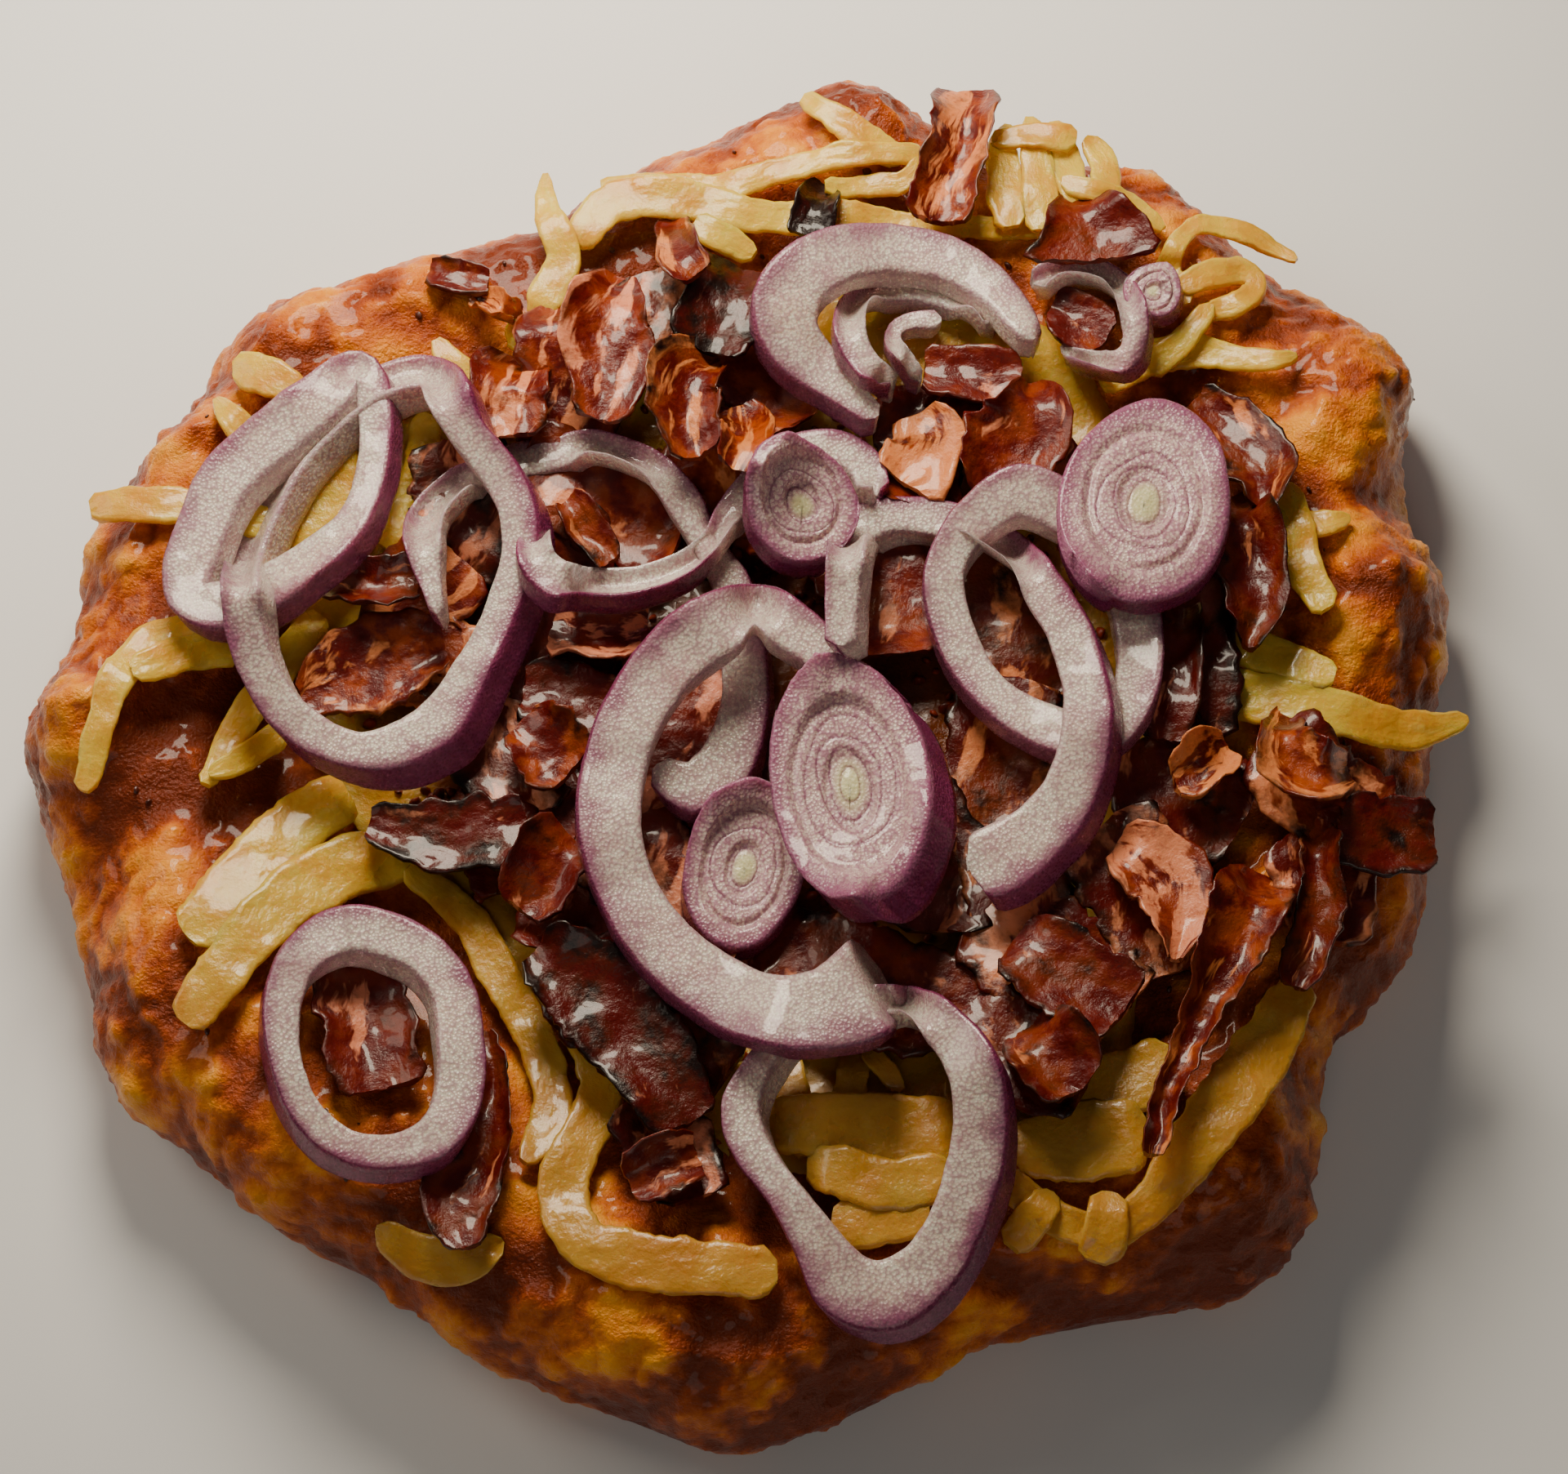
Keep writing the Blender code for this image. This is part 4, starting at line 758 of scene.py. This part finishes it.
# Pieces on top: name, route as for the shreds, then how fatty, how charred and how amber each one is.
# On pieces low in the view, such as front_dark, left_low and in_front_ring, the charred share is partly
# painted shade.
BACON = (
    ("centre_under", ((640, 842, 60), (705, 860, 90), (780, 870, 70)), (0.1, 0.5, 0.1)),
    ("left_low", ((450, 1010, 40), (520, 1022, 80), (590, 1022, 92), (645, 1008, 70)), (0.1, 0.55, 0.1)),
    ("under_left", ((636, 1112, 60), (668, 1066, 90), (702, 1026, 70)), (0.15, 0.3, 0.2)),
    ("front_dark", ((655, 1165, 70), (725, 1215, 120), (790, 1290, 120), (840, 1375, 90)), (0.1, 0.6, 0.15)),
    ("front_bit", ((772, 1452, 44), (812, 1430, 72), (856, 1418, 50)), (0.3, 0.2, 0.2)),
    ("front_right", ((1245, 1150, 60), (1300, 1190, 110), (1375, 1240, 110)), (0.1, 0.35, 0.2)),
    ("dark_column", ((1446, 745, 50), (1442, 830, 60), (1428, 905, 60)), (0.1, 0.5, 0.1)),
    ("clear_fat", ((1438, 955, 44), (1475, 938, 70), (1506, 916, 40)), (0.7, 0.0, 0.5)),
    ("round_front", ((1252, 1256, 54), (1287, 1292, 106), (1322, 1332, 50)), (0.15, 0.35, 0.35)),
    ("pale_middle", ((1122, 506, 60), (1136, 545, 96), (1108, 590, 80)), (0.9, 0.0, 0.5)),
    ("under_arch", ((1132, 452, 40), (1190, 458, 70), (1248, 466, 50)), (0.3, 0.2, 0.1)),
    ("right_top", ((1262, 468, 34), (1264, 508, 108), (1236, 560, 126), (1200, 602, 80)), (0.25, 0.15, 0.2)),
    ("left_ring_low", ((372, 855, 50), (430, 826, 104), (500, 802, 100), (544, 790, 56)), (0.3, 0.15, 0.45)),
    ("left_ring_top", ((398, 706, 42), (450, 718, 64), (515, 714, 60)), (0.15, 0.4, 0.4)),
    ("orange_left", ((636, 888, 44), (668, 915, 92), (700, 946, 66)), (0.1, 0.25, 0.6)),
    ("centre_pale", ((676, 770, 50), (735, 776, 78), (796, 772, 50)), (0.5, 0.1, 0.1)),
    ("upright_chip", ((694, 612, 30), (720, 650, 44), (748, 688, 30)), (0.2, 0.35, 0.4)),
    ("left_top", ((762, 338, 50), (742, 395, 110), (748, 450, 108), (735, 512, 66)), (0.35, 0.1, 0.15)),
    ("char_top", ((902, 326, 104), (884, 370, 100), (866, 428, 86)), (0.05, 0.7, 0.1)),
    ("orange_tip", ((820, 266, 16), (828, 300, 48), (852, 336, 56)), (0.2, 0.3, 0.5)),
    ("curl_middle", ((878, 440, 60), (838, 466, 96), (842, 515, 90), (856, 556, 56)), (0.35, 0.3, 0.5)),
    ("orange_middle", ((902, 498, 46), (914, 534, 70), (902, 572, 46)), (0.4, 0.1, 0.6)),
    ("left_centre", ((636, 438, 84), (624, 482, 98), (628, 534, 46)), (0.5, 0.15, 0.3)),
    ("bit_far_left", ((526, 330, 28), (560, 340, 44), (598, 346, 30)), (0.1, 0.4, 0.5)),
    ("fat_far_left", ((580, 362, 24), (606, 378, 40), (636, 396, 20)), (0.7, 0.1, 0.6)),
    ("in_small_ring", ((1288, 374, 46), (1324, 394, 70), (1352, 416, 46)), (0.15, 0.25, 0.3)),
    ("point_top", ((1328, 216, 14), (1326, 246, 72), (1334, 276, 122), (1338, 316, 172)), (0.1, 0.3, 0.15)),
    ("strip_top", ((1182, 112, 86), (1178, 165, 72), (1162, 215, 78), (1152, 270, 82)), (0.45, 0.2, 0.45)),
    ("burnt_bit", ((1010, 226, 40), (998, 256, 56), (986, 288, 38)), (0.0, 1.0, 0.0)),
    ("right_upper", ((1462, 488, 44), (1508, 530, 80), (1546, 576, 82), (1548, 622, 40)), (0.2, 0.45, 0.45)),
    ("right_dark", ((1512, 606, 44), (1530, 660, 84), (1536, 725, 88), (1530, 792, 34)), (0.05, 0.45, 0.35)),
    ("right_edge", ((1640, 1012, 74), (1695, 1026, 100), (1758, 1026, 66)), (0.05, 0.5, 0.2)),
    ("curl_right", ((1576, 866, 26), (1570, 915, 78), (1608, 950, 88), (1654, 948, 56)), (0.4, 0.15, 0.5)),
    ("strip_right", ((1612, 1008, 40), (1616, 1078, 46), (1608, 1142, 62), (1584, 1208, 42)),
     (0.2, 0.4, 0.3)),
    ("pointed_right", ((1368, 1034, 60), (1424, 1070, 108), (1446, 1125, 78), (1440, 1174, 24)),
     (0.75, 0.05, 0.2)),
    ("long_twist", ((1548, 1072, 92), (1512, 1150, 88), (1480, 1222, 58), (1450, 1290, 40),
                    (1426, 1350, 38), (1412, 1414, 28)), (0.3, 0.2, 0.55)),
    ("front_tail", ((596, 1262, 26), (606, 1350, 40), (592, 1420, 60), (562, 1472, 96), (572, 1526, 48)),
     (0.15, 0.4, 0.25)),
    ("in_front_ring", ((430, 1180, 76), (450, 1250, 118), (470, 1332, 104)), (0.25, 0.3, 0.1)),
)
BACON_THICK = 1.1
COVERED_BACON_DOWN = 1.2
# How much of the lack of width at its ends a cut piece is given back
SQUARED = 0.55


def squared(route):
    """A cut piece's route with its ends nearly as wide as its middle."""
    widest = max(width for _, _, width in route)
    return [(across, down, width + SQUARED * (widest - width)) for across, down, width in route]


bacon_material, tree, shader, place = surface(
    "fried_bacon", 0.28, 0.09, 0.14, (1.0, 0.25, 0.08), 0.0012, specular=0.25)
across = told(tree, "section", "Vector").parts()[0]
fatty, char_and_near_shade, amber = told(tree, "tone", "Vector").parts()
amber = amber.maths("ADD", 0.14, use_clamp=True)
grain = joined(tree, told(tree, "along") * 0.10, across * 1.5) + place * 0.045
streaks = mottle(grain, 1.0, 4.0, 0.6)
patches = mottle(place, 4.5, 5.0, 0.6)
fine = mottle(place, 0.9, 4.0, 0.6)
lean_colour = mixed(patches, paint(34, 2, 0), paint(124, 19, 7))
lean_colour = mixed(amber * smooth_mask(patches, 0.42, 0.68), lean_colour, paint(196, 88, 6))
fat_colour = mixed(amber, paint(216, 134, 110), paint(216, 126, 34))
fat_colour = mixed(smooth_mask(fine, 0.5, 0.85), fat_colour, paint(150, 54, 20))
fat_share = streaks + (fatty - 0.45) * 0.34
colour = mixed(smooth_mask(fat_share, 0.50, 0.57), lean_colour, fat_colour)
# Char at the thin edges and on charred pieces; on the pieces low in the view it is partly painted shade
burnt = smooth_mask(abs(across), 0.62, 1.02) * 0.22 + char_and_near_shade * 0.66 + (patches - 0.5) * 1.5
colour = mixed(smooth_mask(burnt, 0.16, 0.66), colour, paint(22, 3, 0))
finish_surface(shader, colour, (patches, 0.3, 0.2), (fine + streaks * 0.6, 0.0004, 0.55))

bed_solid = felt("bacon_bed")
covered = plan_cover(BACON_BED, COVERED_BACON_DOWN)
guides = []
for number, route in enumerate(BACON_BED):
    noise.seed_set(number + 3)
    tone = (0.1 + 0.5 * noise.random(), 0.15 + 0.45 * noise.random(), 0.4 * noise.random())
    guides.append(band(bed_solid, squared(route), False, BACON_THICK, covered=covered(number),
                       blunt=0.2, tone=tone, curl=0.4, narrow=0.7))
bed = grown("fried_bacon_layer", guide_mesh("fried_bacon_layer_guides", guides), band_tree, {
    "Flatness": 0.2, "Rounding": 0.1, "Points Round": 36, "Ragged": 0.8,
    "Ragged Size": 3.0, "Crinkle": 0.0022, "Crinkle Size": 0.0046, "Fine Crinkle": 0.0006, "Seed": 7.7,
    "Material": bacon_material})
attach(bed, "root")
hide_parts("bacon_bed")

for number, (name, route, tone) in enumerate(BACON):
    if len(route) == 3:
        route = squared(route)
    guide = band(felt("bacon_" + name), route, False, BACON_THICK, blunt=0.12, tone=tone, curl=0.4,
                 narrow=0.8)
    piece = grown("fried_" + name, guide_mesh("fried_" + name, [guide]), band_tree, {
        "Flatness": 0.2, "Rounding": 0.1, "Points Round": 44, "Ragged": 0.7,
        "Ragged Size": 2.6, "Crinkle": 0.0020, "Crinkle Size": 0.0044, "Fine Crinkle": 0.0006,
        "Seed": 11.3 + 1.7 * number, "Material": bacon_material})
    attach(piece, "root")
    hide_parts("bacon_" + name)


# The onion rings: raw red onion, cut crossways and pulled apart. Each layer is wet translucent flesh
# with a thin purple skin on its outer wall and fine rays of cells across the cut.
# Name, closed, route as for the shreds, thickness, lean, then how purple the outer wall is
RINGS = (
    ("onion_arc_top_outer", False, (
        (1074, 510, 26), (1025, 466, 50), (975, 420, 72), (962, 375, 84), (985, 330, 74), (1035, 306, 66),
        (1100, 302, 60), (1165, 314, 54), (1215, 345, 48), (1252, 388, 40), (1268, 414, 28),
    ), 3.2, (0.4, 0.9), 0.8),
    ("onion_arc_top_middle", False, (
        (1094, 480, 32), (1056, 436, 38), (1040, 402, 42), (1051, 373, 38), (1086, 354, 34),
        (1130, 352, 34), (1180, 368, 34), (1218, 398, 32),
    ), 3.0, (0.3, 0.5), 0.9),
    ("onion_arc_top_inner", False, (
        (1126, 468, 22), (1098, 434, 24), (1094, 404, 24), (1116, 390, 22), (1152, 390, 22),
    ), 2.8, (0.2, 0.3), 0.7),
    ("onion_ring_left_under", True, (
        (440, 452, 54), (344, 520, 62), (272, 585, 64), (236, 668, 62), (228, 728, 60), (280, 738, 64),
        (352, 700, 56), (428, 638, 42), (454, 570, 38), (458, 505, 42),
    ), 3.6, (-1.4, 0.8), 0.9),
    ("onion_ring_right_under", True, (
        (1156, 726, 52), (1178, 795, 50), (1215, 846, 48), (1270, 882, 54), (1340, 900, 58),
        (1386, 856, 58), (1396, 780, 58), (1374, 700, 58), (1320, 630, 58), (1252, 598, 60),
        (1196, 630, 54), (1162, 676, 50),
    ), 3.4, (0.0, 0.6), 0.8),
    ("onion_ring_front", True, (
        (928, 1300, 34), (904, 1355, 50), (918, 1405, 48), (955, 1456, 44), (996, 1515, 58),
        (1030, 1568, 82), (1080, 1585, 88), (1134, 1552, 76), (1172, 1488, 70), (1194, 1420, 72),
        (1198, 1350, 68), (1182, 1290, 60), (1142, 1246, 50), (1090, 1228, 44), (1030, 1228, 42),
        (968, 1250, 38),
    ), 4.0, (-1.6, 0.9), 1.0),
    ("onion_ring_front_left", True, (
        (430, 1134, 60), (500, 1152, 57), (548, 1194, 55), (565, 1258, 58), (564, 1330, 60),
        (538, 1386, 60), (480, 1408, 46), (420, 1398, 43), (373, 1354, 41), (349, 1290, 41),
        (346, 1225, 48), (370, 1165, 54),
    ), 4.0, (1.0, 1.0), 1.0),
    ("onion_ring_small_top", False, (
        (1262, 352, 34), (1300, 336, 34), (1345, 341, 36), (1376, 366, 36), (1390, 400, 34),
        (1382, 431, 32), (1350, 449, 28), (1316, 443, 22), (1298, 425, 14),
    ), 3.0, (-0.9, 0.3), 0.9),
    ("onion_ring_big_left", True, (
        (530, 466, 66), (570, 525, 46), (624, 600, 50), (634, 668, 46), (614, 740, 42), (582, 806, 46),
        (534, 882, 62), (448, 917, 50), (363, 882, 50), (308, 808, 48), (292, 730, 48), (309, 662, 50),
        (350, 580, 48), (410, 515, 50), (466, 476, 58),
    ), 4.6, (-2.2, 1.4), 1.0),
    ("onion_ring_arch", False, (
        (536, 752, 16), (526, 712, 28), (519, 680, 42), (518, 650, 52), (540, 615, 48), (585, 580, 44),
        (630, 563, 43), (682, 552, 43), (735, 552, 44), (790, 572, 46), (830, 604, 45), (862, 652, 44),
        (890, 702, 48), (905, 760, 52), (912, 820, 58), (908, 880, 60), (884, 938, 70), (842, 962, 68),
        (802, 940, 34),
    ), 3.4, (-0.7, 0.4), 0.9),
    ("onion_ring_twisted", False, (
        (662, 634, 28), (656, 680, 48), (690, 712, 50), (736, 722, 52), (790, 718, 50), (843, 696, 42),
        (876, 664, 32), (896, 624, 36), (932, 581, 42), (977, 551, 44), (1026, 546, 45), (1061, 568, 45),
        (1073, 606, 40),
    ), 3.2, (0.2, 1.3), 0.9),
    ("onion_ring_centre", False, (
        (1024, 816, 42), (985, 776, 58), (930, 750, 70), (868, 768, 73), (812, 815, 76), (770, 880, 78),
        (750, 950, 79), (746, 1012, 79), (765, 1080, 77), (800, 1140, 79), (852, 1190, 84), (925, 1230, 92),
        (1005, 1236, 106), (1085, 1202, 132),
    ), 3.4, (0.2, 0.2), 0.9),
    ("onion_ring_right", False, (
        (1028, 790, 40), (1030, 710, 44), (1042, 652, 52), (1085, 628, 46), (1145, 632, 47),
        (1200, 655, 49), (1256, 696, 52), (1300, 756, 54), (1326, 825, 56), (1329, 895, 63),
        (1313, 958, 70), (1276, 1012, 78), (1228, 1048, 88), (1188, 1062, 84),
    ), 3.6, (-1.6, 0.7), 1.0),
)


def onion_surface(name, clear):
    """Wet onion, with its tree, its shader, places in millimetres and its grain of cells."""
    material, tree, shader, place = surface(
        name, 0.4, 0.06, 0.5, (1.0, 0.8, 0.8), 0.0026, clear=clear, bend=1.36)
    cells = put(tree, "ShaderNodeTexVoronoi", {"Vector": place, "Scale": 2.4}, out="Distance")
    return material, tree, shader, place, cells


def onion_flesh(rays, cells, dull, pale, between):
    """Flesh with rays across the cut and duller lines between the cells."""
    return mixed(smooth_mask(cells, 0.35, 0.75), mixed(smooth_mask(rays, 0.3, 0.7), dull, pale), between)


def finish_onion(shader, rays, cells, flesh, wall):
    """Purple skin where `wall` is, flesh elsewhere, and the relief of the cells."""
    wall_colour = mixed(rays, paint(84, 12, 50), paint(156, 62, 112))
    finish_surface(shader, mixed(wall, flesh, wall_colour), (cells, 0.3, 0.15),
                   (cells + rays * 0.5, 0.0002, 0.6))


onion_material, tree, shader, place, cells = onion_surface("red_onion", 0.34)
across, upward, _ = told(tree, "section", "Vector").parts()
skin = told(tree, "skin")
outside = across * skin.maths("SIGN")
rays = mottle(joined(tree, told(tree, "along") * 1.1, across * 0.9), 1.0, 4.0, 0.6)
patches = mottle(place, 5.0, 3.0)
flesh = onion_flesh(rays, cells, paint(230, 214, 198), paint(255, 248, 232), paint(204, 176, 176))
flesh = mixed(smooth_mask(patches, 0.42, 0.75) * 0.5, flesh, paint(190, 136, 150))
tint = smooth_mask(outside + (patches - 0.5) * 1.3, 0.0, 1.0) * abs(skin)
flesh = mixed(tint * 0.85, flesh, paint(148, 68, 116))
inner = smooth_mask(outside, -0.84, -0.98) * smooth_mask(upward, 0.2, 0.9)
flesh = mixed(inner * 0.45, flesh, paint(140, 80, 120))
wall = smooth_mask(outside + (1.0 - upward) * 0.07, 0.86, 0.95) * abs(skin)
finish_onion(shader, rays, cells, flesh, wall)


def outer_side(route):
    """+1 if the right-hand edge of a curved route is its outer one, else -1."""
    places = np.array(route, float)[:, :2]
    outward = places - places.mean(axis=0)
    closed = np.allclose(places[0], places[-1])
    aside = unit_normals(places, closed)
    return float(np.sign((outward * aside).sum()))


for number, (name, closed, route, thick, lean, purple) in enumerate(RINGS):
    outer = outer_side(route)
    if name == "onion_ring_twisted":
        # It turns over at its middle, so its outer wall changes sides
        outer = outer_side(route[6:])
        skin = ((0.0, -outer), (0.46, -outer), (0.54, outer), (1.0, outer))
    else:
        skin = purple * outer
    guide = band(felt(name), route, closed, thick, lean, blunt=0.35, skin=skin)
    piece = grown("red_" + name, guide_mesh("red_" + name, [guide]), band_tree, {
        "Flatness": 0.7, "Rounding": 0.16, "Points Round": 32, "Ragged": 0.1,
        "Ragged Size": 4.0, "Crinkle": 0.0009, "Crinkle Size": 0.008, "Fine Crinkle": 0.00012,
        "Seed": 31.3 + 2.3 * number, "Material": onion_material})
    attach(piece, "root")
    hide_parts(name)


# The onion slices: whole rounds cut near the end of the bulb, with their layers still nested in one
# another round a small pale core.
# Name, middle, half width and half height, turn, thickness, lean, shares of the radius where layers meet
SLICES = (
    ("onion_bit_top_right", (1412, 358), (36, 34), 20, 2.6, (-0.4, 0.3), (0.3, 0.62)),
    ("onion_slice_under_twist", (982, 620), (68, 68), 0, 3.0, (0.5, 0.5), (0.28, 0.52)),
    ("onion_slice_under_centre", (912, 1062), (72, 106), 14, 3.0, (0.3, 0.5), (0.22, 0.5)),
    ("onion_slice_right", (1402, 615), (105, 132), 6, 3.2, (-0.2, 0.3), (0.2, 0.36, 0.5)),
    ("onion_slice_centre", (1040, 960), (100, 158), -8, 4.2, (-3.0, 1.8), (0.13, 0.26, 0.38, 0.54)),
)
# The rows of points from the middle over the cut face, down the wall and back under it
CUT_ROWS = 61
WALL_ROWS = 7
UNDER_ROWS = 14
# The solid is felt a little inside the slice's edge
FELT_INSIDE = 0.97
SEAM_WIDE = 0.02
SEAM_DEEP = 0.18
RIM_FROM = 0.94
RIM_ROUND = 0.35

slice_material, tree, shader, place, cells = onion_surface("red_onion_slice", 0.24)
share = told(tree, "share")
rays = mottle(told(tree, "angle", "Vector") * 9.0 + place * 0.05, 1.0, 4.0, 0.6)
flesh = onion_flesh(rays, cells, paint(196, 158, 162), paint(236, 216, 204), paint(180, 132, 148))
flesh = mixed(smooth_mask(share, 0.26, 0.1), flesh, paint(226, 220, 170))
flesh = mixed(smooth_mask(share, 0.72, 1.0) * 0.85, flesh, paint(146, 66, 114))
flesh = mixed(told(tree, "seam") * 0.8, flesh, paint(128, 52, 96))
finish_onion(shader, rays, cells, flesh, told(tree, "skin"))


def from_seam(share, angle, seams):
    """How far a point of the cut face is from the nearest seam, which sways a little round the slice."""
    gaps = []
    for seam in seams:
        sway = 1 + 0.07 * math.sin(angle * 2 + seam * 9) + 0.04 * math.sin(angle * 3 + seam * 17)
        gaps.append(abs(share * sway - seam))
    return min(gaps)


for number, (name, spot, halves, turn, thick, lean, seams) in enumerate(SLICES):
    solid = felt(name)
    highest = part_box(name)[1].z / MM
    around = 120
    shares = np.concatenate([np.linspace(0, 1, CUT_ROWS + 1)[1:], np.full(WALL_ROWS, 1.0),
                             np.linspace(1, 0, UNDER_ROWS + 2)[1:-1]])
    downs = np.concatenate([np.zeros(CUT_ROWS), np.linspace(0, 1, WALL_ROWS + 1)[1:], np.ones(UNDER_ROWS)])
    angles = np.linspace(0, 2 * math.pi, around, endpoint=False)
    wobble = 1 + 0.03 * np.sin(2 * angles + number) + 0.02 * np.sin(3 * angles + 2 * number)
    turned = math.radians(turn)
    centre = np.array(laid(*spot, highest))
    level = top_at(solid, *centre, highest)
    points = []
    kinds = []
    for share, below in zip(shares, downs):
        for angle, stretch in zip(angles, wobble):
            x = halves[0] * math.cos(angle) * share * stretch
            y = halves[1] * math.sin(angle) * share * stretch
            seen = (spot[0] + x * math.cos(turned) - y * math.sin(turned),
                    spot[1] + x * math.sin(turned) + y * math.cos(turned))
            plan = np.array(laid(*seen, level))
            top = top_at(solid, *(centre + (plan - centre) * FELT_INSIDE), level)
            if below == 0:
                groove = max(0.0, 1 - from_seam(share, angle, seams) / SEAM_WIDE)
                edge = RIM_ROUND * max(0.0, (share - RIM_FROM) / 0.06) ** 2
            else:
                groove = 0.0
                edge = RIM_ROUND * (1 - below)
            top = top - SEAM_DEEP * groove - edge
            points.append((plan[0] - lean[0] * below, plan[1] - lean[1] * below, top - thick * below))
            kinds.append((share, groove, 1.0 if 0 < below and share == 1.0 else 0.0,
                          math.cos(angle), math.sin(angle)))
    rows = len(shares)
    centre_top = len(points)
    points.append((*centre, level))
    points.append((centre[0] - lean[0], centre[1] - lean[1], level - thick))
    kinds += [(0, 0, 0, 1, 0)] * 2
    faces = []
    for i in range(rows - 1):
        for j in range(around):
            k = (j + 1) % around
            faces.append((i * around + j, (i + 1) * around + j, (i + 1) * around + k, i * around + k))
    for j in range(around):
        k = (j + 1) % around
        faces.append((centre_top, j, k))
        faces.append((centre_top + 1, (rows - 1) * around + k, (rows - 1) * around + j))
    mesh = bpy.data.meshes.new(name + "_round")
    mesh.from_pydata((np.array(points) * MM).tolist(), [], faces)
    kinds = np.array(kinds, float)
    for column, key in enumerate(("share", "seam", "skin")):
        mesh.attributes.new(key, "FLOAT", "POINT").data.foreach_set("value", kinds[:, column])
    directions = np.column_stack([kinds[:, 3:], np.zeros(len(kinds))]).ravel()
    mesh.attributes.new("angle", "FLOAT_VECTOR", "POINT").data.foreach_set("vector", directions)
    piece = grown("red_" + name, mesh, uneven_tree, {
        "Wave Size": 0.006, "Wave Height": 0.0008, "Detail": 2.0, "Seed": 3.1 + number,
        "Material": slice_material})
    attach(piece, "root")
    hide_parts(name)


# The crumbs and scraps: burnt specks that have dropped from the pan over the crust, and small scraps of
# fried bacon strewn between the larger pieces, over the melted cheese.
char_material, tree, shader, place = surface("burnt_crumb", 0.3, 0.2)
finish_surface(shader, mixed(mottle(place, 1.5), paint(22, 8, 5), paint(92, 30, 14)),
               (mottle(place, 0.8), 0.4, 0.2))

crumb_tree, given = new_tree("scattered_crumbs", ("Per Area", "Least", "Most", "Reach", "Seed"),
                             whole=("Seed",))
spot = put(crumb_tree, "GeometryNodeInputPosition")
upright = put(crumb_tree, "GeometryNodeInputNormal").parts()[2]
where = upright.maths("GREATER_THAN", 0.6) * spot.length().maths("LESS_THAN", given["Reach"])
strewn = put(crumb_tree, "GeometryNodeDistributePointsOnFaces", {
    "Mesh": given["Geometry"], "Selection": where, "Density": given["Per Area"], "Seed": given["Seed"]})
crumb = put(crumb_tree, "GeometryNodeMeshIcoSphere", {"Radius": 1.0, "Subdivisions": 2})
crumb = put(crumb_tree, "GeometryNodeSetPosition", {
    "Geometry": crumb, "Offset": swell(spot, 1.0, 1.1, 2.0, finer=1.3)})
sized = put(crumb_tree, "FunctionNodeRandomValue", {
    2: given["Least"], 3: given["Most"], "Seed": given["Seed"]}, out=1)
turned = put(crumb_tree, "FunctionNodeRandomValue", {0: (0, 0, 0), 1: (6.28, 6.28, 6.28)},
             data_type="FLOAT_VECTOR")
finish_tree(put(crumb_tree, "GeometryNodeInstanceOnPoints", {
    "Points": strewn, "Instance": crumb, "Rotation": turned,
    "Scale": joined(crumb_tree, sized, sized, sized * 0.6)}), given)
crumbs = grown("burnt_crumbs", crust.data.copy(), crumb_tree, {
    "Per Area": 9000.0, "Least": 0.00015, "Most": 0.0006, "Reach": 0.080, "Seed": 5,
    "Material": char_material})
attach(crumbs, "root")

scrap_material, tree, shader, place = surface(
    "bacon_scrap", 0.3, 0.08, 0.1, (1.0, 0.2, 0.05), 0.001, specular=0.25)
colour = mixed(smooth_mask(mottle(place, 3.0), 0.35, 0.65), paint(52, 4, 0), paint(150, 44, 4))
finish_surface(shader, colour, (mottle(place, 0.8), 0.3, 0.25))
scraps = grown("bacon_scraps", melted.data.copy(), crumb_tree, {
    "Per Area": 90000.0, "Least": 0.0005, "Most": 0.0011, "Reach": 0.050, "Seed": 9,
    "Material": scrap_material})
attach(scraps, "root")


# The table and the light: a plain pale floor, two soft lights from the far side and the left, and a
# broad weak one from the near side.
floor_mesh = bpy.data.meshes.new("pale_floor")
floor_mesh.from_pydata([(-3, -3, 0), (3, -3, 0), (3, 3, 0), (-3, 3, 0)], [], [(0, 1, 2, 3)])
floor = bpy.data.objects.new("pale_floor", floor_mesh)
bpy.context.scene.collection.objects.link(floor)
floor_material = bpy.data.materials.new("pale_floor")
floor_material.use_nodes = True
floor_material.node_tree.nodes["Principled BSDF"].inputs["Base Color"].default_value = (0.82, 0.82, 0.82, 1)
floor_material.node_tree.nodes["Principled BSDF"].inputs["Roughness"].default_value = 0.8
floor_mesh.materials.append(floor_material)
floor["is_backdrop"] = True
# Name, where it is, how big and how strong it is, its colour
LIGHTS = (
    ("far_light", (-0.04, 0.19, 0.21), 0.13, 1.25, (1.0, 0.88, 0.70)),
    ("left_light", (-0.34, 0.14, 0.28), 0.20, 0.55, (1.0, 0.90, 0.74)),
    ("near_light", (0.10, -0.9, 0.8), 0.7, 1.8, (1.0, 0.93, 0.82)),
)
for name, where, size, power, colour in LIGHTS:
    lamp = bpy.data.lights.new(name, "AREA")
    lamp.shape = "DISK"
    lamp.size = size
    lamp.energy = power
    lamp.color = colour
    holder = bpy.data.objects.new(name, lamp)
    bpy.context.scene.collection.objects.link(holder)
    holder.location = where
    holder.rotation_euler = (Vector((0, 0, 0.015)) - Vector(where)).to_track_quat("-Z", "Y").to_euler()
world = bpy.data.worlds.new("soft_room")
bpy.context.scene.world = world
world.use_nodes = True
world.node_tree.nodes["Background"].inputs["Color"].default_value = (1, 1, 1, 1)
world.node_tree.nodes["Background"].inputs["Strength"].default_value = 0.05

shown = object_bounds()
